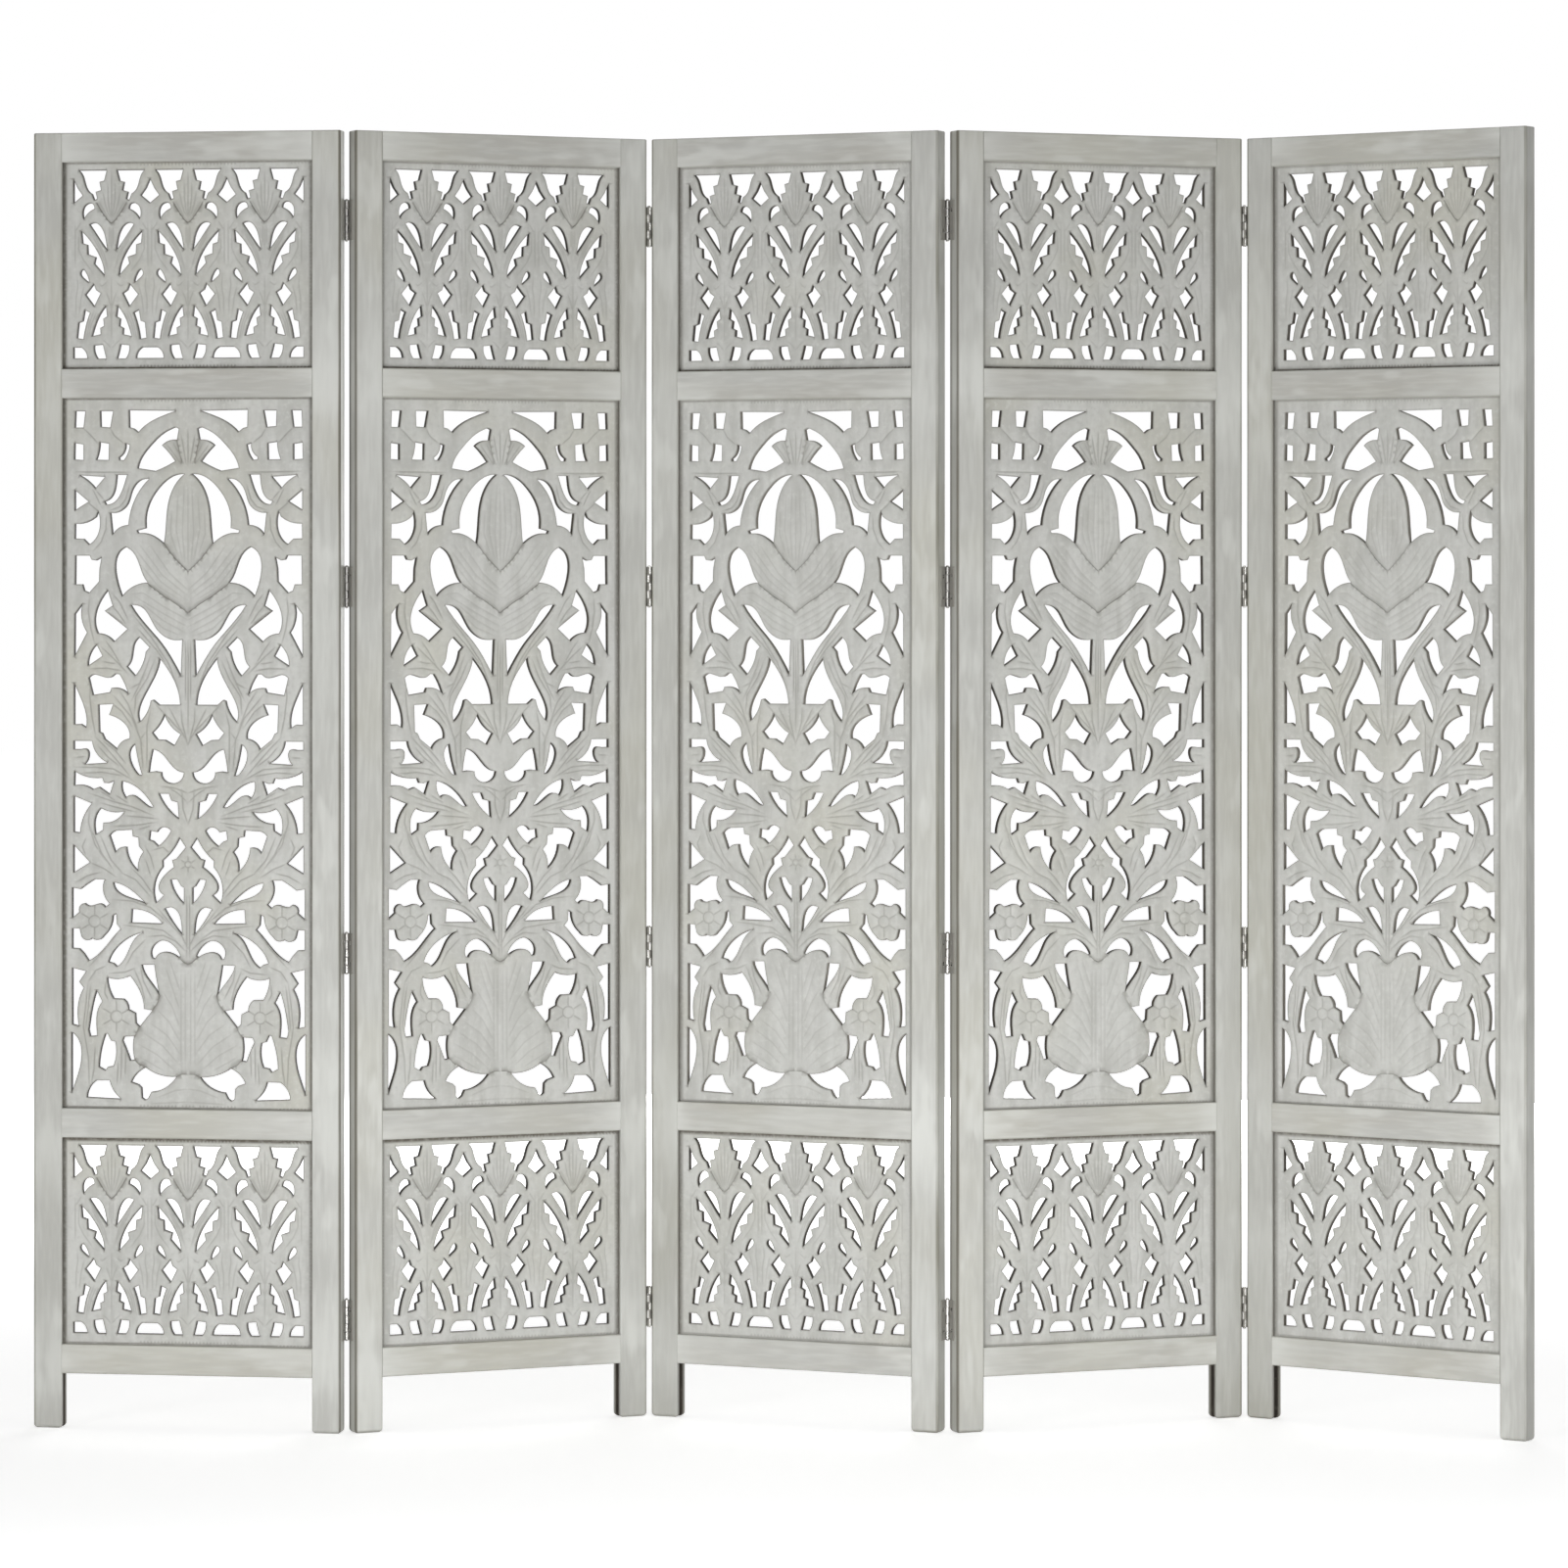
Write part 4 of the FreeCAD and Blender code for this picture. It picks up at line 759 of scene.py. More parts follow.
def new_object(name, data):
    thing = bpy.data.objects.new(name, data)
    bpy.context.scene.collection.objects.link(thing)
    return thing


def new_piece(node, mesh, leaf):
    """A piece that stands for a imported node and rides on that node's body."""
    mesh.transform(LEAF_MATRICES[leaf])
    piece = new_object("screen_" + node, mesh)
    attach(piece, frame["nodes"][node]["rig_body"])
    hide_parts(node)


def band(below, above, closed=True):
    """Four-sided faces between two rings of point numbers, or between two open rows of them."""
    pairs = list(zip(below, above))
    following = pairs[1:] + pairs[:1] if closed else pairs[1:]
    return [(low, next_low, next_high, high)
            for (low, high), (next_low, next_high) in zip(pairs, following)]


def fading(distance, reach):
    """One at no distance, falling evenly to zero at a reach."""
    return np.clip(1 - distance / reach, 0.0, 1.0)


# Frame pieces

def rounded_ring(corners):
    """A ring of points round right-angled corners (a, b, rounding, is the next side bare wood).

    It gives the points, how thin the paint is on each, and whether the side after each point is bare."""
    ring = []
    count = len(corners)
    for index, (a, b, rounding, bare_side) in enumerate(corners):
        corner = Vector((a, b))
        if not rounding:
            ring.append((corner, 0.0, bare_side))
            continue
        before = Vector(corners[index - 1][:2]) - corner
        after = Vector(corners[(index + 1) % count][:2]) - corner
        fade = rounding + WEAR_FADE
        if before.length > 2 * fade:
            ring.append((corner + before.normalized() * fade, 0.0, corners[index - 1][3]))
        middle = corner + (before.normalized() + after.normalized()) * rounding
        for step in range(ARC_STEPS + 1):
            angle = math.pi / 2 * step / ARC_STEPS
            spoke = after.normalized() * math.cos(angle) + before.normalized() * math.sin(angle)
            bare = bare_side and step == ARC_STEPS
            ring.append((middle - spoke * rounding, rounding / OUTER_ROUNDING, bare))
        if after.length > 2 * fade:
            ring.append((corner + after.normalized() * fade, 0.0, bare_side))
    return zip(*ring)


def squeezed(value, size, low_inset, high_inset):
    """A coordinate moved in from its two outer sides, less and less away from them."""
    if value < SQUEEZE_REACH:
        return low_inset + value * (SQUEEZE_REACH - low_inset) / SQUEEZE_REACH
    if value > size - SQUEEZE_REACH:
        return size - high_inset - (size - value) * (SQUEEZE_REACH - high_inset) / SQUEEZE_REACH
    return value


def wave(position, seed, height):
    """How far a hand-planed side lies in from its line."""
    swing = noise.noise(Vector((position / WAVE_LENGTH, seed, 0.0)))
    return height * min(1.0, max(0.0, NOISE_MIDDLE_SHARE + swing))


def rounding_stations(rounding):
    """Distances from an end and insets there, for an end that is rounded over."""
    stations = []
    for step in range(ARC_STEPS + 1):
        angle = math.pi / 2 * step / ARC_STEPS
        stations.append((rounding * (1 - math.cos(angle)), rounding * (1 - math.sin(angle))))
    return stations


def stations_between(low, high, low_stations, high_stations):
    """Places along a bar from low to high with the inset at each; end stations are (distance, inset)."""
    stations = [(low + distance, inset) for distance, inset in low_stations]
    ends = [(high - distance, inset) for distance, inset in reversed(high_stations)]
    start, stop = stations[-1][0], ends[0][0]
    count = max(1, round((stop - start) / STATION_STEP))
    for number in range(1, count):
        stations.append((start + (stop - start) * number / count, 0.0))
    return stations + ends


def swept_bar(ring, sizes, stations, seed):
    """Points of a bar: its ring at each station, squeezed by the station's inset and by waves."""
    points = []
    for position, inset in stations:
        sides = [inset + wave(position, seed + side, SIDE_WAVE) for side in SIDE_SEEDS]
        faces = [inset + wave(position, seed + face, FACE_WAVE) for face in FACE_SEEDS]
        for a, b in ring:
            points.append((squeezed(a, sizes[0], *sides), squeezed(b, sizes[1], *faces), position))
    return points


def tube_faces(count, rings, bare):
    """Faces between following rings of points, with each face's material number."""
    faces = []
    for first in range(0, (rings - 1) * count, count):
        faces.extend(band(range(first, first + count), range(first + count, first + 2 * count)))
    return faces, [1 if is_bare else 0 for is_bare in bare] * (rings - 1)


def joint_smear(height, seed):
    """How much pale paint is smeared on a stile at a height: most beside the lower rails."""
    total = 0.0
    for bottom, amount in zip(RAIL_BOTTOMS, RAIL_SMEAR_SHARES):
        offset = (height - bottom - RAIL_HEIGHT / 2) / SMEAR_REACH
        swing = noise.noise(Vector((bottom / RAIL_HEIGHT, seed, SMEAR_SEED)))
        total += amount * (SMEAR_BASE_SHARE + swing) * math.exp(-offset * offset)
    return min(1.0, max(0.0, total))


def stile_grime_and_shade(point, edge_grime_and_shade):
    """Grime and painted shade at a point of a stile's section: beside the groove's mouth and on the outer
    edge.

    The edge holds grime along the front arris and painted shade deep in the gap between the leaves."""
    deep = point.x < OUTER_ROUNDING / 2 and point.y > FRAME_THICKNESS - EDGE_SHADE_REACH
    if deep or point.length < ARRIS_DIRT_REACH:
        return edge_grime_and_shade
    beside_groove = GROOVE_FRONT - SIDE_GRIME_AND_SHADE_REACH < point.y < GROOVE_BACK + SIDE_GRIME_AND_SHADE_REACH
    return 1.0 if beside_groove and point.x > STILE_WIDTH - 2 * MOUTH_ROUNDING else 0.0


def stile_wear_and_shade(position, inset, is_shaded):
    """Wear and painted shade of a whole stile at a place: on the rounded ends, and growing towards the foot
    of a shaded stile.
    """
    wear_and_shade = min(1.0, inset / TOP_ROUNDING)
    if is_shaded:
        fall = (1 - position / LEAF_HEIGHT) ** 2
        wear_and_shade = max(wear_and_shade, TOP_SHADE_SHARE + (FOOT_SHADE_SHARE - TOP_SHADE_SHARE) * fall)
    return wear_and_shade


def stile_mesh(name, leaf, side, seed):
    """A stile with its panel groove and a rounded foot; side -1 is the left one.

    One stile of each leaf, left and right in turn, darkens towards its foot with painted shade,
    and some outer edges hold grime along the front arris and painted shade deep in the gap."""
    floor = STILE_WIDTH - GROOVE_DEPTH
    corners = [(0, 0, OUTER_ROUNDING, False), (STILE_WIDTH, 0, INNER_ROUNDING, False),
               (STILE_WIDTH, GROOVE_FRONT, MOUTH_ROUNDING, True), (floor, GROOVE_FRONT, 0, True),
               (floor, GROOVE_BACK, 0, True), (STILE_WIDTH, GROOVE_BACK, MOUTH_ROUNDING, False),
               (STILE_WIDTH, FRAME_THICKNESS, INNER_ROUNDING, False),
               (0, FRAME_THICKNESS, OUTER_ROUNDING, False),
               (0, FRAME_THICKNESS - EDGE_SHADE_REACH, 0, False)]
    ring, wear_and_painted_light, bare = rounded_ring(corners)
    # The outer edge face is darkened with thin paint and painted shade
    wear_and_painted_light = [max(value, EDGE_WEAR_AND_SHADE_SHARE) if point.x == 0 else value for value, point in zip(wear_and_painted_light, ring)]
    stations = stations_between(0, LEAF_HEIGHT, rounding_stations(FOOT_ROUNDING),
                                rounding_stations(TOP_ROUNDING))
    points = swept_bar(ring, (STILE_WIDTH, FRAME_THICKNESS), stations, seed)
    if side > 0:
        points = [(LEAF_WIDTH - x, y, z) for x, y, z in points]
    faces, materials = tube_faces(len(ring), len(stations), bare)
    faces.append(tuple(range(len(ring))))
    faces.append(tuple(range(len(points) - len(ring), len(points))))
    materials.extend((0, 0))
    edge_grime_and_shade = (LEFT_EDGE_GRIME_AND_SHADE_SHARES if side < 0 else RIGHT_EDGE_GRIME_AND_SHADE_SHARES)[leaf]
    # One stile of each leaf, left and right in turn, gets painted shade growing towards its foot
    is_shaded = (leaf % 2 == 0) == (side < 0)
    wear_and_shade, smear = [], []
    for position, inset in stations:
        end_wear_and_shade = stile_wear_and_shade(position, inset, is_shaded)
        wear_and_shade.extend(max(value, end_wear_and_shade) for value in wear_and_painted_light)
        smear.extend([joint_smear(position, seed)] * len(ring))
    grime_and_shade_values = [stile_grime_and_shade(point, edge_grime_and_shade) for point in ring] * len(stations)
    values = {"wear_and_painted_light": wear_and_shade, "smear": smear, "grime_and_shade": grime_and_shade_values}
    return new_mesh(name, points, faces, (UPRIGHT_PAINT, BARE_WITH_SHADE), materials, values)


def rail_edge(edge, floor, depths):
    """Corners of a rail's lower or upper edge, from one face to the other; the floor is its groove's."""
    if floor == edge:
        return [(edge, depths[1], 0, False), (edge, depths[2], 0, False)]
    groove = [(floor, depth, 0, True) for depth in depths]
    return [(edge, depths[0], MOUTH_ROUNDING, True)] + groove + [(edge, depths[3], MOUTH_ROUNDING, False)]


def rail_corners(low, high):
    """A rail's section as (up, depth) corners; its tongue stands between two heights."""
    depths = (GROOVE_FRONT, TONGUE_FRONT, TONGUE_BACK, GROOVE_BACK)
    corners = [(0, 0, INNER_ROUNDING, False)] + rail_edge(0, low, depths)
    corners.append((0, FRAME_THICKNESS, INNER_ROUNDING, False))
    corners.append((RAIL_HEIGHT, FRAME_THICKNESS, INNER_ROUNDING, False))
    corners.extend(rail_edge(RAIL_HEIGHT, high, depths[::-1]))
    corners.append((RAIL_HEIGHT, 0, INNER_ROUNDING, False))
    return corners


def end_smear(position):
    """How much pale paint is smeared on a rail at a place along it: it fades away from the ends."""
    from_end = min(position - STILE_WIDTH, OPENING_RIGHT - position)
    return RAIL_END_SMEAR_SHARE * fading(from_end, RAIL_SMEAR_REACH)


def rail_mesh(name, bottom, groove_below, groove_above, seed):
    """A rail between the stiles, with a tongue at each end that stands in the stile's groove."""
    low = GROOVE_DEPTH if groove_below else 0
    high = RAIL_HEIGHT - GROOVE_DEPTH if groove_above else RAIL_HEIGHT
    ring, wear_and_painted_light, bare = rounded_ring(rail_corners(low, high))
    count = len(ring)
    chamfer = [(0.0, RAIL_END_CHAMFER), (RAIL_END_CHAMFER, 0.0)]
    stations = stations_between(STILE_WIDTH, OPENING_RIGHT, chamfer, chamfer)
    swept = swept_bar(ring, (RAIL_HEIGHT, FRAME_THICKNESS), stations, seed)
    points = [(x, y, bottom + z) for z, y, x in swept]
    faces, materials = tube_faces(count, len(stations), bare)
    marks = [(low, TONGUE_FRONT), (low, TONGUE_BACK), (high, TONGUE_BACK), (high, TONGUE_FRONT)]
    places = [min(range(count), key=lambda i: (ring[i] - Vector(mark)).length) for mark in marks]
    back = list(range(places[1], places[2] + 1))
    front = list(range(places[3], count)) + list(range(places[0] + 1))
    for start, outward in ((0, -TONGUE_LENGTH), (len(points) - count, TONGUE_LENGTH)):
        faces.append(tuple(start + place for place in back))
        faces.append(tuple(start + place for place in front))
        root = [start + place for place in places]
        tip = list(range(len(points), len(points) + len(root)))
        points.extend([(x + outward, y, z) for x, y, z in (points[number] for number in root)])
        faces.extend(band(root, tip))
        faces.append(tuple(tip))
        # The shoulders are painted, and so is the tongue where the rail has no groove beside it
        materials.extend([0, 0, 1 if groove_below else 0, 1, 1 if groove_above else 0, 1, 1])
    wear_and_shade = list(wear_and_painted_light) * len(stations)
    smear = [end_smear(position) for position, inset in stations for _ in ring]
    for values in (wear_and_shade, smear):
        values.extend([0.0] * (len(points) - len(values)))
    return new_mesh(name, points, faces, (LEVEL_PAINT, BARE_WITH_SHADE), materials, {"wear_and_painted_light": wear_and_shade, "smear": smear})


# Carved boards

def packed_outlines(node, to_leaf):
    """Outlines of a packed panel's front face, as arrays of (x, z) in the leaf's frame."""
    work = bmesh.new()
    work.from_mesh(frame["nodes"][node].data)
    bmesh.ops.remove_doubles(work, verts=work.verts, dist=SAME_POINT * MM)
    work.transform(to_leaf)
    work.normal_update()
    work.faces.index_update()
    facing = [face.normal.y < -FACING_SHARE for face in work.faces]
    following = {}
    for face in work.faces:
        if not facing[face.index]:
            continue
        for corner in face.loops:
            beside = [other for other in corner.edge.link_faces if other is not face]
            if not any(facing[other.index] for other in beside):
                following[corner.vert] = corner.link_loop_next.vert
    outlines = []
    while following:
        start, here = following.popitem()
        ring = [start]
        while here is not start:
            ring.append(here)
            here = following.pop(here)
        outlines.append(np.array([(vert.co.x, vert.co.z) for vert in ring]) / MM)
    work.free()
    return outlines


def evenly(line, spacing):
    """A line of points resampled with steps of about a spacing, both ends kept."""
    line = np.asarray(line, float)
    lengths = np.linalg.norm(np.diff(line, axis=0), axis=1)
    along = np.concatenate(([0.0], np.cumsum(lengths)))
    count = max(1, math.ceil(along[-1] / spacing))
    places = np.linspace(0.0, along[-1], count + 1)
    return np.stack([np.interp(places, along, line[:, axis]) for axis in (0, 1)], axis=1)


def ways(ring):
    """The ways that lead into and out of each point of a closed outline."""
    return ring - np.roll(ring, 1, axis=0), np.roll(ring, -1, axis=0) - ring


def unit(way):
    return way / np.linalg.norm(way, axis=1)[:, None]


def left_of(way):
    return np.stack([-way[:, 1], way[:, 0]], axis=1)


def resampled(ring, spacing):
    """A closed outline with its corners kept and even steps between them."""
    way_in, way_out = ways(ring)
    across = way_in[:, 0] * way_out[:, 1] - way_in[:, 1] * way_out[:, 0]
    turn = np.abs(np.arctan2(across, (way_in * way_out).sum(1)))
    corners = np.flatnonzero(turn > math.radians(CORNER_TURN_DEG))
    if len(corners) == 0:
        corners = np.array([0])
    points = []
    for number, first in enumerate(corners):
        last = corners[(number + 1) % len(corners)]
        steps = (last - first) % len(ring) or len(ring)
        run = ring[(first + np.arange(steps + 1)) % len(ring)]
        points.extend(evenly(run, spacing)[:-1])
    return np.array(points)


def in_wood(points, outlines):
    """True where a point is inside an odd number of outlines: on the board and in none of its holes."""
    inside = np.zeros(len(points), bool)
    for ring in outlines:
        near = np.flatnonzero(((points >= ring.min(0)) & (points <= ring.max(0))).all(1))
        if len(near) == 0:
            continue
        x = points[near, 0][:, None]
        z = points[near, 1][:, None]
        start, end = ring, np.roll(ring, -1, axis=0)
        rise = end[:, 1] - start[:, 1]
        safe_rise = np.where(rise == 0, 1.0, rise)
        meets = start[:, 0] + (z - start[:, 1]) * (end[:, 0] - start[:, 0]) / safe_rise
        passes = ((start[:, 1] > z) != (end[:, 1] > z)) & (x < meets)
        inside[near] ^= passes.sum(1) % 2 == 1
    return inside


def line_sides(line):
    """Unit vectors to the left of a line at each of its points."""
    return left_of(unit(np.gradient(line, axis=0)))


def nearest_on_line(points, line):
    """Each point's distance from a line, the share of the line's length there, and the side: 1 is left."""
    lengths = np.linalg.norm(np.diff(line, axis=0), axis=1)
    best = np.full(len(points), np.inf)
    along, side = np.zeros((2, len(points)))
    done = 0.0
    for start, end, length in zip(line[:-1], line[1:], lengths):
        way = (end - start) / length
        reach = points - start
        run = reach @ way
        held = np.clip(run, 0.0, length)
        gap = np.linalg.norm(reach - held[:, None] * way, axis=1)
        closer = gap < best
        best[closer] = gap[closer]
        along[closer] = (done + held[closer]) / lengths.sum()
        side[closer] = np.sign(way[0] * reach[closer, 1] - way[1] * reach[closer, 0])
        done += length
    return best, along, side


def close_to(points, line, reach):
    """Numbers of the points inside a line's bounding box, widened by a reach."""
    return np.flatnonzero(((points > line.min(0) - reach) & (points < line.max(0) + reach)).all(1))


class Relief:
    """The lines cut into a board: grooves, and steps where one carved piece lies over another."""

    def __init__(self):
        self.grooves = []
        self.strengths = []
        self.steps = []

    def add_half(self, grooves, strength, steps, middle, half_width, top, height):
        """Lines given in shares of half a motif, and the same lines mirrored on its middle."""
        for mirror in (1, -1):
            def place(share):
                return middle + mirror * share[0] * half_width, top - share[1] * height
            for shares in grooves:
                self.add_groove(evenly([place(share) for share in shares], ROW_STEP), strength)
            for shares in steps:
                line = [place(share) for share in shares][::mirror]
                self.steps.append(evenly(line, ROW_STEP))

    def add_groove(self, line, strength):
        self.grooves.append(line)
        self.strengths.append(strength)

    def add_flower(self, middle, radius, strength):
        """A round flower: a ring round its heart and cuts between its petals."""
        heart = radius * FLOWER_RING_SHARE
        angles = [2 * math.pi * step / FLOWER_RING_STEPS for step in range(FLOWER_RING_STEPS + 1)]
        ring = [(middle[0] + heart * math.cos(a), middle[1] + heart * math.sin(a)) for a in angles]
        self.add_groove(np.array(ring), strength)
        for petal in range(FLOWER_PETALS):
            angle = math.pi * (2 * petal + 1) / FLOWER_PETALS
            way = np.array([math.cos(angle), math.sin(angle)])
            self.add_groove(evenly([middle + way * heart, middle + way * radius], ROW_STEP), strength)

    def rows(self):
        """Rows of points that the mesh needs along the lines, each with whether it is a line's own bed."""
        rows = []
        for line in self.grooves:
            rows.append((line, True))
            for side in (1, -1):
                rows.append((line + side * GROOVE_HALF * line_sides(line), False))
        for line in self.steps:
            rows.append((line, True))
            rows.append((line + STEP_WALL * line_sides(line), True))
        return rows

    def depth_grime_and_shade(self, points):
        """How deep the lines are cut at each point, and how much grime and painted shade they hold there."""
        cut, valley, drop, grime_and_shade_values = np.zeros((4, len(points)))
        for line, strength in zip(self.grooves, self.strengths):
            near = close_to(points, line, VALLEY_REACH)
            gap, along, _ = nearest_on_line(points[near], line)
            end = np.minimum(along, 1 - along) / GROOVE_TAPER_SHARE
            fade = strength * np.clip(GROOVE_END_SHARE + end, 0.0, 1.0)
            narrow = fade * fading(gap, GROOVE_HALF)
            wide = fade * fading(gap, VALLEY_REACH) ** 2
            cut[near] = np.maximum(cut[near], narrow)
            valley[near] = np.maximum(valley[near], wide)
        for line in self.steps:
            near = close_to(points, line, STEP_WALL + STEP_RAMP)
            gap, along, side = nearest_on_line(points[near], line)
            beside = (side > 0) & (along > 0.0) & (along < 1.0)
            beyond = np.maximum(gap - STEP_WALL, 0.0)
            ramp = fading(beyond, STEP_RAMP) ** 2
            edge = fading(beyond, STEP_GRIME_AND_SHADE_REACH)
            fall = np.where(beside, np.clip(gap / STEP_WALL, 0.0, 1.0) * ramp, 0.0)
            # Beside a step the lower piece gets grime along the line and a broad painted shade beyond it
            step_grime_and_shade = np.where(beside, np.maximum(STEP_GRIME_AND_SHADE_SHARE * edge, STEP_SHADE_SHARE * ramp), 0.0)
            drop[near] = np.maximum(drop[near], fall)
            grime_and_shade_values[near] = np.maximum(grime_and_shade_values[near], step_grime_and_shade)
        depth = np.maximum(GROOVE_CUT * cut + VALLEY_DROP * valley, STEP_DROP * drop)
        # The cuts hold grime and painted shade
        return depth, np.maximum(grime_and_shade_values, GROOVE_GRIME_AND_SHADE_SHARE * cut)


def point_tree(points):
    """A tree that finds the nearest of some points."""
    tree = kdtree.KDTree(len(points))
    for index, (x, z) in enumerate(points):
        tree.insert((x, z, 0.0), index)
    tree.balance()
    return tree


class Spread:
    """Points for the mesh of a board, kept apart from those already there."""

    def __init__(self, outlines):
        self.outlines = outlines
        self.points = []
        self.edges = []
        for ring in outlines:
            first = len(self.points)
            count = len(ring)
            self.points.extend(map(tuple, ring))
            self.edges.extend((first + i, first + (i + 1) % count) for i in range(count))
        self.outline_count = len(self.points)

    def add(self, candidates, clearance, chained=False):
        """Adds the points that lie in the wood and clear of the others; chained ones are joined by edges."""
        candidates = np.asarray(candidates)
        tree = point_tree(self.points)
        fits = in_wood(candidates, self.outlines)
        previous = None
        for point, fit in zip(candidates, fits):
            if not fit or tree.find((point[0], point[1], 0.0))[2] < clearance:
                previous = None
                continue
            self.points.append(tuple(point))
            if chained and previous is not None:
                self.edges.append((previous, len(self.points) - 1))
            previous = len(self.points) - 1

    def triangles(self):
        """Points and triangles of the board's face, without its holes."""
        flat = [Vector(point) for point in self.points]
        found = delaunay_2d_cdt(flat, self.edges, [], 0, SAME_POINT)
        points = np.array([tuple(point) for point in found[0]])
        faces = np.array(found[2])
        keep = in_wood(points[faces].mean(1), self.outlines)
        return points, faces[keep]


def inset_ring(ring, distance):
    """Points a distance away from an outline, on the side of the wood."""
    way_in, way_out = ways(ring)
    way = unit(way_in) + unit(way_out)
    way /= np.maximum(np.linalg.norm(way, axis=1), SAME_POINT)[:, None]
    return ring + distance * left_of(way)


def border_rows(bottom, height):
    """Rows of points just inside the opening, where grime and painted shade lie against the frame."""
    rows = []
    for inset in (GRIME_AND_SHADE_REACH / 2, GRIME_AND_SHADE_REACH, 2 * GRIME_AND_SHADE_REACH):
        left, right = STILE_WIDTH + inset, OPENING_RIGHT - inset
        low, high = bottom + inset, bottom + height - inset
        corners = np.array([(left, low), (right, low), (right, high), (left, high)])
        rows.append(resampled(corners, GRID_STEP))
    return rows


def board_shape(node, bottom, height, relief):
    """Points of a carved board's front face, its depth and dirt at each, and its triangles."""
    packed = packed_outlines(node, LEAF_MATRICES[0].inverted())
    outlines = [resampled(ring, OUTLINE_STEP) for ring in packed]
    spread = Spread(outlines)
    for row, is_bed in relief.rows():
        spread.add(row, ROW_CLEARANCE, is_bed)
    for ring in outlines:
        spread.add(inset_ring(ring, INSET), INSET_CLEARANCE_SHARE * INSET)
    for row in border_rows(bottom, height):
        spread.add(row, ROW_CLEARANCE)
    columns = np.arange(STILE_WIDTH, OPENING_RIGHT, GRID_STEP)
    levels = np.arange(bottom, bottom + height, GRID_STEP)
    grid = [(x + GRID_STEP / 2 * (row % 2), z) for row, z in enumerate(levels) for x in columns]
    spread.add(grid, GRID_CLEARANCE)
    points, faces = spread.triangles()
    depth, grime_and_shade_values = board_depth(points, spread, relief, bottom, height)
    return points, depth, grime_and_shade_values, faces, bottom + height - points[:, 1], points[:, 1] - bottom


def board_depth(points, spread, relief, bottom, height):
    """How far each point of a board's face lies behind its plane, and how much grime and painted shade it
    holds.
    """
    tree = point_tree(spread.points[:spread.outline_count])
    edge = np.array([tree.find((x, z, 0.0))[2] for x, z in points])
    cut, grime_and_shade_values = relief.depth_grime_and_shade(points)
    gouge = np.array([noise.noise(Vector((x, z, 0.0)) / GOUGE_LENGTH) for x, z in points])
    rim = fading(edge, INSET)
    crown = fading(edge, CROWN_REACH)
    depth = EDGE_DROP * rim ** 2 + CROWN_DROP * crown ** 2
    depth += GOUGE_DROP * np.clip(NOISE_MIDDLE_SHARE + gouge, 0.0, 1.0)
    from_sides = np.minimum(points[:, 0] - STILE_WIDTH, OPENING_RIGHT - points[:, 0])
    from_rails = np.minimum(points[:, 1] - bottom, bottom + height - points[:, 1])
    depth = np.where(np.minimum(from_sides, from_rails) > 0, depth + cut, 0.0)
    # Grime and painted shade along the stiles
    side = border_grime_and_shade(from_sides, (SIDE_BORDER_GRIME_AND_SHADE_SHARE, DARK_BORDER_REACH))
    # Painted shade and grime round the rims of the holes
    return depth, np.maximum.reduce([grime_and_shade_values, side, RIM_GRIME_AND_SHADE_SHARE * rim])


def border_grime_and_shade(distance, border):
    """Grime and painted shade at a distance from the frame: a share, all of it close by and none beyond a
    reach.
    """
    share, reach = border
    return share * np.clip(2 - 2 * distance / reach, 0.0, 1.0)


def board_mesh(name, shape, lift, top_border, bottom_border):
    """A carved and pierced board: the same relief on both faces, and walls round the holes in bare wood with
    painted shade.
    """
    points, depth, grime_and_shade_values, faces, from_top, from_bottom = shape
    # Grime and painted shade along the rails above and below
    borders = [border_grime_and_shade(from_top, top_border), border_grime_and_shade(from_bottom, bottom_border)]
    grime_and_shade_values = np.maximum.reduce([grime_and_shade_values] + borders)
    count = len(points)
    front = np.stack([points[:, 0], PANEL_FRONT + depth, points[:, 1] + lift], axis=1)
    back = np.stack([points[:, 0], PANEL_BACK - depth, points[:, 1] + lift], axis=1)
    sides = {}
    for face in faces.tolist():
        for start, end in zip(face, face[1:] + face[:1]):
            sides[(start, end)] = True
    walls = [(end, start, start + count, end + count) for start, end in sides if (end, start) not in sides]
    all_faces = faces.tolist() + (faces[:, ::-1] + count).tolist() + walls
    materials = [0] * (2 * len(faces)) + [1] * len(walls)
    everything = np.concatenate([front, back])
    return new_mesh(name, everything, all_faces, (CARVED_PAINT, BARE_WITH_SHADE), materials,
                    {"grime_and_shade": np.concatenate([grime_and_shade_values, grime_and_shade_values])})


def main_relief():
    """The lines of a main panel."""
    relief = Relief()
    top = MAIN_OPENING_BOTTOM + MAIN_OPENING_HEIGHT
    half = OPENING_WIDTH / 2
    size = (LEAF_WIDTH / 2, half, top, MAIN_OPENING_HEIGHT)
    relief.add_half(MAIN_GROOVE_SHARES, MAIN_LINE_SHARE, MAIN_STEP_SHARES, *size)
    relief.add_half(MAIN_VEIN_SHARES, VEIN_SHARE, (), *size)
    for (across, down), radius in MAIN_FLOWERS:
        for mirror in ((1, -1) if across else (1,)):
            middle = np.array([LEAF_WIDTH / 2 + mirror * across * half, top - down * MAIN_OPENING_HEIGHT])
            relief.add_flower(middle, radius, MAIN_LINE_SHARE)
    return relief


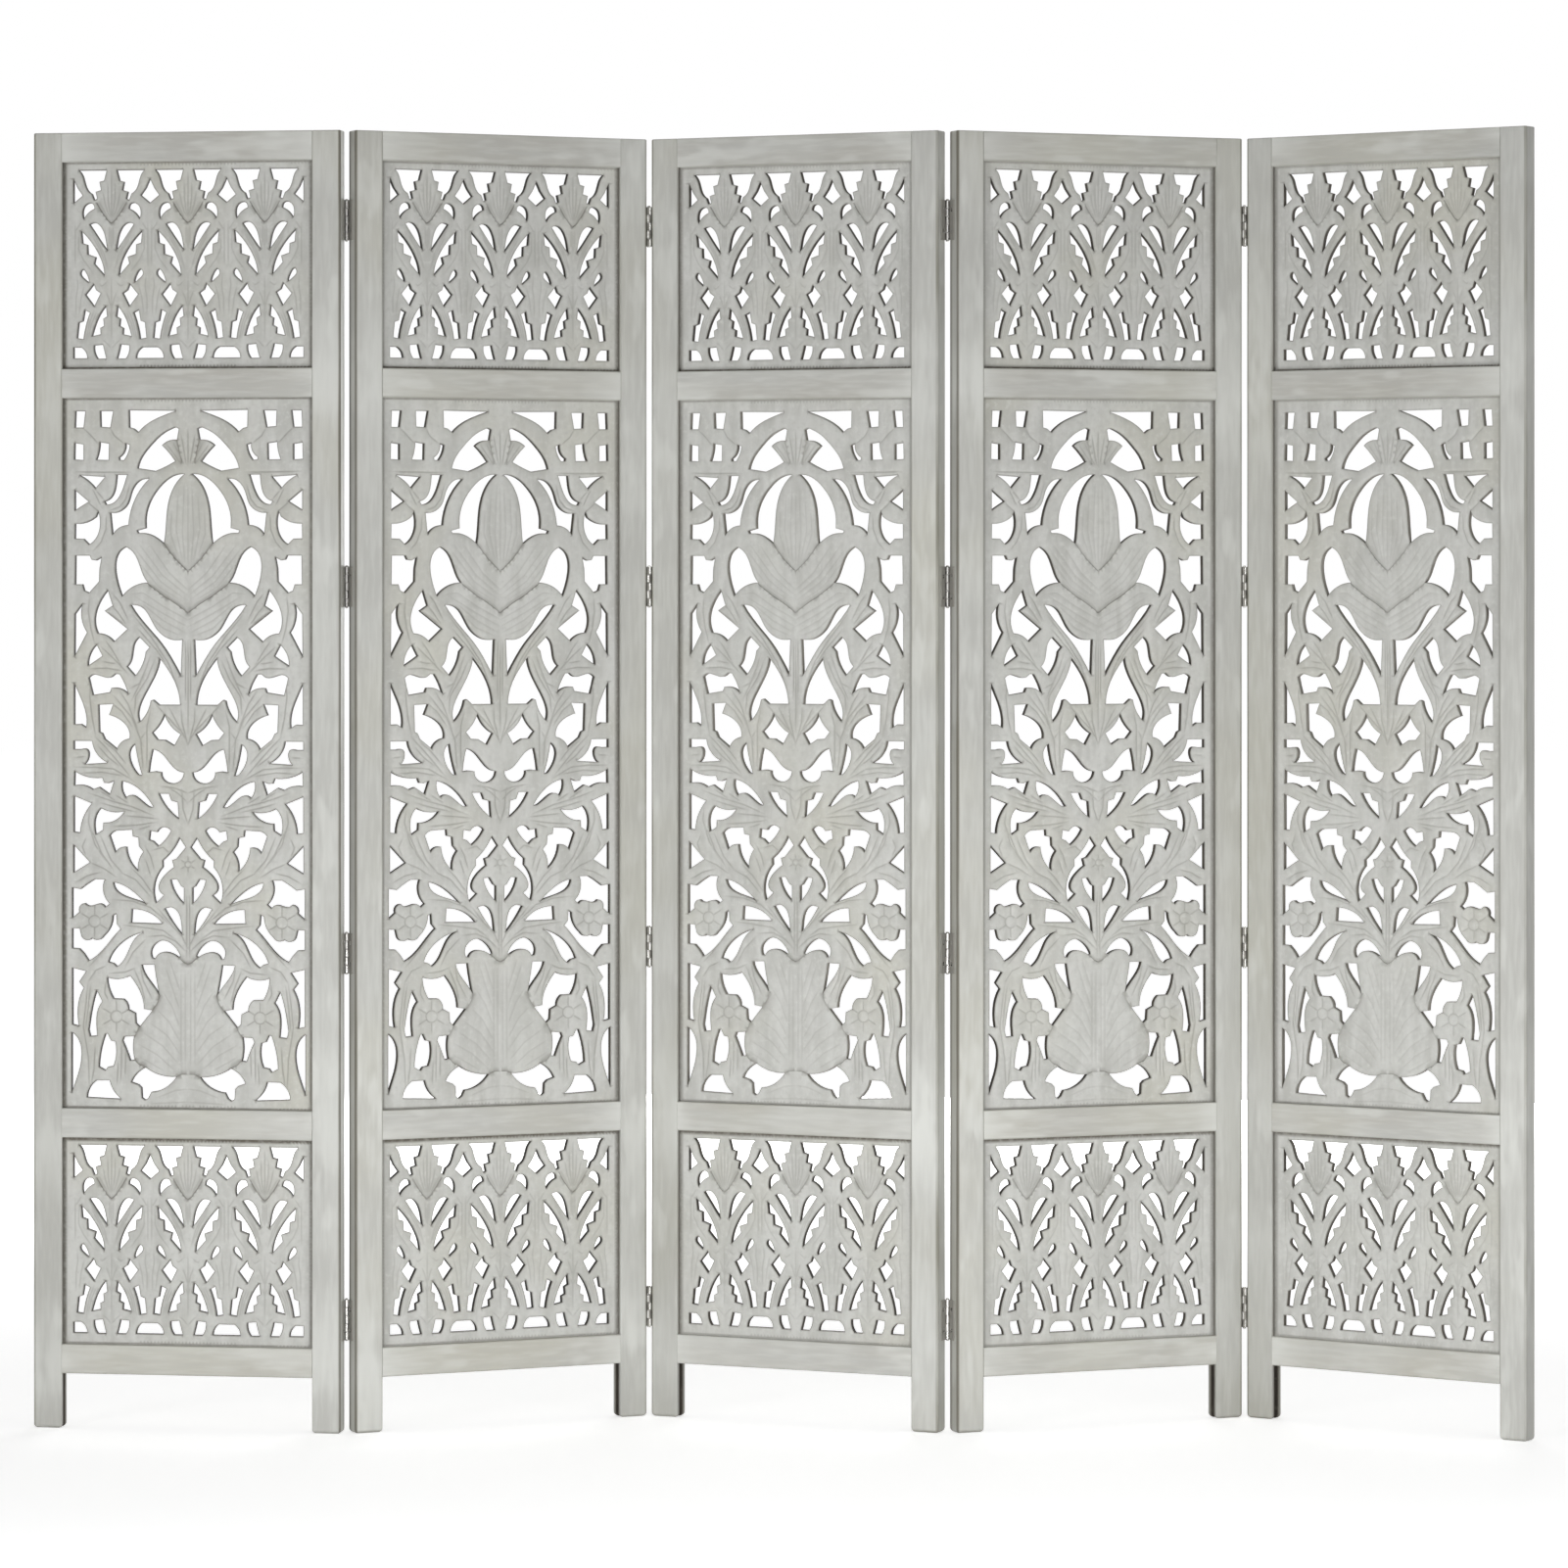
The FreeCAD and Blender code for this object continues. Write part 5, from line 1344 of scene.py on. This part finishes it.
def small_relief():
    """The lines of a lower panel; the upper one has the same."""
    relief = Relief()
    top = LOWER_OPENING_BOTTOM + SMALL_OPENING_HEIGHT
    for number in range(MOTIF_COUNT):
        middle = LEAF_WIDTH / 2 + (number - (MOTIF_COUNT - 1) / 2) * MOTIF_WIDTH
        size = (middle, MOTIF_WIDTH / 2, top, SMALL_OPENING_HEIGHT)
        relief.add_half(SMALL_VEIN_SHARES, SMALL_LINE_SHARE, SMALL_STEP_SHARES, *size)
        relief.add_half(SMALL_STEM_SHARES, STEM_LINE_SHARE, (), *size)
    return relief


# Hinges

class Solids:
    """Closed solids gathered into one mesh, each given as points and faces."""

    def __init__(self):
        self.points = []
        self.faces = []

    def add(self, points, faces):
        first = len(self.points)
        self.points.extend(points)
        self.faces.extend(tuple(first + index for index in face) for face in faces)

    def mesh(self, name, material, values=None):
        return new_mesh(name, self.points, self.faces, (material,), [0] * len(self.faces), values)


def curl_outline(inset):
    """Section of a rolled knuckle from one face of the plate round the pin and back to its other face.

    Each point is (out from the stile's edge, in from the pin towards the plate's far side); the outside
    of the roll lies in by the inset."""
    start = math.degrees(math.acos(-PIN_OUT / KNUCKLE_RADIUS))
    inner_offset = PLATE_THICKNESS - PIN_OUT
    inner_end = math.degrees(math.acos(inner_offset / BORE_RADIUS))
    outline = [(0.0, CURL_FOOT)]
    rolls = ((KNUCKLE_RADIUS - inset, start, CURL_END_DEG), (BORE_RADIUS, CURL_END_DEG, inner_end))
    for radius, first, last in rolls:
        for step in range(CURL_STEPS + 1):
            angle = math.radians(first + (last - first) * step / CURL_STEPS)
            outline.append((PIN_OUT + radius * math.cos(angle), radius * math.sin(angle)))
    outline.append((PLATE_THICKNESS, CURL_FOOT))
    return outline


def plate_levels(own_first):
    """Heights at which a hinge plate changes, and the spans of its own knuckles."""
    spans = []
    for number in range(own_first, KNUCKLE_COUNT, 2):
        spans.append((number * KNUCKLE_PITCH, (number + 1) * KNUCKLE_PITCH - KNUCKLE_GAP))
    levels = sorted({0.0, HINGE_HEIGHT, *(level for span in spans for level in span)})
    apart = [level for index, level in enumerate(levels)
             if index == 0 or level - levels[index - 1] > SAME_POINT]
    return apart, spans


def plate_solid(own_first):
    """One half of a butt hinge: points as (out, in, up from the hinge's foot) and faces."""
    section = [(0.0, CURL_FOOT), (PLATE_THICKNESS, CURL_FOOT), (PLATE_THICKNESS, PLATE_WIDTH - PLATE_CHAMFER),
               (PLATE_THICKNESS - PLATE_CHAMFER, PLATE_WIDTH), (0.0, PLATE_WIDTH)]
    levels, spans = plate_levels(own_first)
    count = len(section)
    points = [(out, inward, level) for level in levels for out, inward in section]
    faces = [tuple(range(count)), tuple(range(len(points) - count, len(points)))]
    for number, (low, high) in enumerate(zip(levels[:-1], levels[1:])):
        first = number * count
        own = any(abs(low - span[0]) < SAME_POINT for span in spans)
        rings = knuckle_rings(points, first, count, low, high) if own else []
        for side in range(count):
            if side == 0 and own:
                continue
            following = (side + 1) % count
            face = [first + side, first + following]
            if following == 0:
                face.extend(ring[0] for ring in rings[1:-1])
            face.extend((first + count + following, first + count + side))
            if side == 1:
                face.extend(ring[-1] for ring in reversed(rings[1:-1]))
            faces.append(tuple(face))
        for below, above in zip(rings[:-1], rings[1:]):
            faces.extend(band(below, above, closed=False))
        if own:
            faces.append(tuple(rings[0]))
            faces.append(tuple(rings[-1]))
    return points, faces


def knuckle_rings(points, first, count, low, high):
    """Rings of points round a knuckle from its foot to its top; its ends are chamfered."""
    places = ((low, KNUCKLE_CHAMFER), (low + KNUCKLE_CHAMFER, 0.0), (high - KNUCKLE_CHAMFER, 0.0),
              (high, KNUCKLE_CHAMFER))
    ends = {low: first, high: first + count}
    rings = []
    for level, inset in places:
        curl = curl_outline(inset)
        ring = []
        for index, (out, inward) in enumerate(curl):
            if level in ends and index in (0, len(curl) - 1):
                ring.append(ends[level] + (1 if index else 0))
                continue
            ring.append(len(points))
            points.append((out, inward, level))
        rings.append(ring)
    return rings


def turned_solid(profile):
    """A solid turned round its own axis from a profile of (radius, height); its end radii are zero."""
    points = [(0.0, 0.0, profile[0][1])]
    for radius, height in profile[1:-1]:
        for step in range(TURNED_STEPS):
            angle = 2 * math.pi * step / TURNED_STEPS
            points.append((radius * math.cos(angle), radius * math.sin(angle), height))
    points.append((0.0, 0.0, profile[-1][1]))
    faces = []
    rings = len(profile) - 2
    for step in range(TURNED_STEPS):
        following = (step + 1) % TURNED_STEPS
        faces.append((0, 1 + following, 1 + step))
        for level in range(rings - 1):
            low = 1 + level * TURNED_STEPS
            high = low + TURNED_STEPS
            faces.append((low + step, low + following, high + following, high + step))
        top = 1 + (rings - 1) * TURNED_STEPS
        faces.append((top + step, top + following, len(points) - 1))
    return points, faces


def slotted_screw():
    """A countersunk screw with its head upwards at height zero, cut across by a slot."""
    profile = [(0.0, -SCREW_LENGTH), (SCREW_RADIUS, SCREW_TIP_LENGTH - SCREW_LENGTH),
               (SCREW_RADIUS, -PLATE_THICKNESS), (SCREW_HEAD_RADIUS, 0.0),
               (SCREW_HEAD_RADIUS * CAP_CROWN_SHARE, SCREW_CROWN), (0.0, SCREW_CROWN)]
    screw = Solids()
    screw.add(*turned_solid(profile))
    half_slot = SCREW_SLOT_WIDTH / 2
    low, high = SCREW_CROWN - SCREW_SLOT_DEPTH, 2 * SCREW_CROWN
    reach = 2 * SCREW_HEAD_RADIUS
    corners = [(x, y, z) for z in (low, high) for x, y in ((-reach, -half_slot), (reach, -half_slot),
                                                           (reach, half_slot), (-reach, half_slot))]
    cutter = Solids()
    bottom, top = (0, 1, 2, 3), (4, 5, 6, 7)
    cutter.add(corners, [bottom, top] + band(bottom, top))
    blank = new_object("screw_blank", screw.mesh("screw_blank", SCREW_STEEL))
    tool = new_object("screw_slot", cutter.mesh("screw_slot", SCREW_STEEL))
    slot = blank.modifiers.new("slot", "BOOLEAN")
    slot.operation = "DIFFERENCE"
    slot.solver = "EXACT"
    slot.object = tool
    cut = blank.evaluated_get(bpy.context.evaluated_depsgraph_get()).to_mesh()
    points = [tuple(vert.co / MM) for vert in cut.vertices]
    faces = [tuple(face.vertices) for face in cut.polygons]
    blank.to_mesh_clear()
    for thing in (blank, tool):
        bpy.data.objects.remove(thing)
    return points, faces


def on_edge(points, joint, edge, foot):
    """Points of a hinge, given as (out, in, up), set on a leaf's edge."""
    edge_x = LEAF_WIDTH if edge > 0 else 0.0
    inward = -1 if pin_is_behind(joint) else 1
    return [(edge_x + edge * out, pin_depth(joint) + inward * depth, foot + up) for out, depth, up in points]


def hinge_meshes(leaf, screw):
    """The plates and the screws of one leaf."""
    plates, screws = Solids(), Solids()
    wash, rubbed_and_glinting = [], []
    screw_points, screw_faces = screw
    screw_in = SCREW_ACROSS_PLATE_SHARE * PLATE_WIDTH
    for joint, edge in hinged_edges(leaf):
        plate_points, plate_faces = plate_solid(0 if edge > 0 else 1)
        knuckle_wash = 0.0 if pin_is_behind(joint) else KNUCKLE_WASH_SHARE
        for foot in hinge_feet():
            plates.add(on_edge(plate_points, joint, edge, foot), plate_faces)
            for out, inward, up in plate_points:
                # The half of each knuckle away from its plate gets a painted glint; the rest of the knuckle
                # stays dark steel
                rub_and_glint = 1.0 if out > PIN_OUT else 0.0
                rubbed_and_glinting.append(rub_and_glint)
                wash.append(1.0 if inward > PLATE_WIDTH / 2 else knuckle_wash * (1 - rub_and_glint))
            for share in SCREW_ALONG_PLATE_SHARES:
                screw_up = share * HINGE_HEIGHT
                set_in = [(PLATE_THICKNESS + z, screw_in + x, screw_up + y) for x, y, z in screw_points]
                screws.add(on_edge(set_in, joint, edge, foot), screw_faces)
    name = "leaf_%d_hinge" % (leaf + 1)
    plates_mesh = plates.mesh(name + "_plates", HINGE_STEEL, {"smear": wash, "wear_and_painted_light": rubbed_and_glinting})
    return plates_mesh, screws.mesh(name + "_screws", SCREW_STEEL)


def pins_mesh(joint):
    """The pins of one joint, in the frame of the leaf on its left."""
    shoulder = PIN_CAP_HEIGHT * CAP_SHOULDER_SHARE
    crown = PIN_CAP_RADIUS * CAP_CROWN_SHARE
    top = HINGE_HEIGHT
    profile = [(0.0, -PIN_CAP_HEIGHT), (crown, -PIN_CAP_HEIGHT), (PIN_CAP_RADIUS, -shoulder),
               (PIN_CAP_RADIUS, 0.0), (PIN_RADIUS, 0.0), (PIN_RADIUS, top), (PIN_CAP_RADIUS, top),
               (PIN_CAP_RADIUS, top + shoulder), (crown, top + PIN_CAP_HEIGHT), (0.0, top + PIN_CAP_HEIGHT)]
    points, faces = turned_solid(profile)
    pins = Solids()
    for foot in hinge_feet():
        pins.add([(LEAF_WIDTH + PIN_OUT + x, pin_depth(joint) + y, foot + z) for x, y, z in points], faces)
    return pins.mesh("hinge_pins_%d" % (joint + 1), PIN_STEEL)


# The whole screen

# What the walls of the holes show, leaf by leaf: bare wood and wash, darkened with painted shade on some
# leaves and lightened with painted light on others
MAIN_WALLS = (BARE_IN_DEEP_SHADE, BARE_WITH_SHADE, WASHED_AND_LIT, BARE_WITH_SHADE, WASHED_AND_LIT)
SMALL_WALLS = (BARE_IN_DEEP_SHADE, BARE_IN_DEEP_SHADE, BARE_WITH_SHADE, BARE_WITH_SHADE, HALF_WASHED_AND_LIT)


def copy_with_grime_and_shade(board, amount):
    """A copy of a carved board that holds more or less grime and painted shade."""
    copy = board.copy()
    grime_and_shade_values = copy.attributes["grime_and_shade"].data
    values = np.empty(len(grime_and_shade_values), np.float32)
    grime_and_shade_values.foreach_get("value", values)
    grime_and_shade_values.foreach_set("value", np.minimum(amount * values, 1.0))
    return copy


def carved_boards():
    """The three boards of a leaf; the small ones differ in height and in the grime and painted shade along
    their borders.
    """
    main = board_shape("leaf_1_main_panel", MAIN_OPENING_BOTTOM, MAIN_OPENING_HEIGHT, main_relief())
    small = board_shape("leaf_1_lower_panel", LOWER_OPENING_BOTTOM, SMALL_OPENING_HEIGHT, small_relief())
    lift = UPPER_OPENING_BOTTOM - LOWER_OPENING_BOTTOM
    plain = (MAIN_BORDER_GRIME_AND_SHADE_SHARE, GRIME_AND_SHADE_REACH)
    faint = (FAINT_BORDER_GRIME_AND_SHADE_SHARE, GRIME_AND_SHADE_REACH)
    dark = (DARK_BORDER_GRIME_AND_SHADE_SHARE, DARK_BORDER_REACH)
    thin = (DARK_BORDER_GRIME_AND_SHADE_SHARE, GRIME_AND_SHADE_REACH)
    return {
        "main_panel": board_mesh("main_board", main, 0.0, plain, plain),
        "lower_panel": board_mesh("lower_board", small, 0.0, dark, faint),
        "upper_panel": board_mesh("upper_board", small, lift, faint, thin),
    }


def build_leaf(leaf, boards, screw):
    prefix = "leaf_%d_" % (leaf + 1)
    leaf_seed = LEAF_SEED_STEP * leaf
    for key, board in boards.items():
        carving = copy_with_grime_and_shade(board, LEAF_GRIME_AND_SHADE_SHARES[leaf])
        carving.materials[1] = (MAIN_WALLS if key == "main_panel" else SMALL_WALLS)[leaf]
        new_piece(prefix + key, carving, leaf)
    downwards = reversed(list(zip(RAILS, RAIL_BOTTOMS)))
    for number, ((key, below, above), bottom) in enumerate(downwards):
        seed = leaf_seed + number + RAIL_SEED
        new_piece(prefix + key, rail_mesh(prefix + key, bottom, below, above, seed), leaf)
    for key, side in (("left_stile", -1), ("right_stile", 1)):
        seed = leaf_seed + STILE_SEED + side
        new_piece(prefix + key, stile_mesh(prefix + key, leaf, side, seed), leaf)
    plates, screws = hinge_meshes(leaf, screw)
    new_piece(prefix + "hinge_plates", plates, leaf)
    new_piece(prefix + "hinge_screws", screws, leaf)


def build_screen():
    boards = carved_boards()
    screw = slotted_screw()
    for leaf in range(LEAF_COUNT):
        build_leaf(leaf, boards, screw)
    for joint in range(LEAF_COUNT - 1):
        new_piece("hinge_pins_%d_%d" % (joint + 1, joint + 2), pins_mesh(joint), joint)


# Surroundings

def make_floor():
    """A pale floor that keeps the shadow and shows white to the camera where nothing shades it."""
    half = FLOOR_HALF
    mesh = bpy.data.meshes.new("floor")
    corners = [(-half, -half, 0), (half, -half, 0), (half, half, 0), (-half, half, 0)]
    mesh.from_pydata(corners, [], [(0, 1, 2, 3)])
    material = bpy.data.materials.new("floor")
    nodes = Nodes(material)
    nodes.clear()
    place = nodes.add("ShaderNodeNewGeometry").outputs["Position"]
    reach = nodes.add("ShaderNodeVectorMath", {0: place}, operation="LENGTH").outputs["Value"]
    strength = nodes.times(nodes.seen_rays(), nodes.span(reach, GLOW_REACH, GLOW_RANGE))
    matt = nodes.add("ShaderNodeBsdfDiffuse", {"Color": FLOOR_COLOUR}).outputs[0]
    glow = nodes.add("ShaderNodeEmission", {"Strength": strength}).outputs[0]
    both = nodes.add("ShaderNodeAddShader", {0: matt, 1: glow}).outputs[0]
    nodes.add("ShaderNodeOutputMaterial", {"Surface": both})
    mesh.materials.append(material)
    floor = new_object("floor", mesh)


def make_world():
    """White to the camera and in reflections, a plain soft light on everything else."""
    world = bpy.data.worlds.new("studio")
    bpy.context.scene.world = world
    nodes = Nodes(world)
    nodes.clear()
    colour = nodes.mix(nodes.seen_rays(), AMBIENT, WHITE)
    light = nodes.add("ShaderNodeBackground", {"Color": colour}).outputs[0]
    nodes.add("ShaderNodeOutputWorld", {"Surface": light})


def make_lamps():
    for name, place, target, size, power in LAMPS:
        light = bpy.data.lights.new(name, "AREA")
        light.shape = "RECTANGLE"
        light.size, light.size_y = size
        light.energy = power
        lamp = new_object(name, light)
        lamp.location = place
        lamp.rotation_euler = (Vector(target) - Vector(place)).to_track_quat("-Z", "Y").to_euler()
        lamp.visible_camera = False


def make_camera():
    """The photo's view: level, with the horizon above the middle of the picture."""
    lens = bpy.data.cameras.new("camera")
    lens.sensor_fit = "HORIZONTAL"
    lens.sensor_width = SENSOR_WIDTH
    lens.lens = FOCAL_PIXELS / PHOTO_SIZE * SENSOR_WIDTH
    lens.shift_y = (HORIZON_PIXEL - PHOTO_SIZE / 2) / PHOTO_SIZE
    lens.clip_end = CLIP_END
    camera = new_object("camera", lens)
    camera.location = CAMERA_PLACE
    camera.rotation_euler = (math.pi / 2, 0.0, CAMERA_TURN)
    bpy.context.scene.camera = camera


build_screen()
make_floor()
make_world()
make_lamps()
make_camera()
bpy.context.scene.view_settings.view_transform = "Standard"
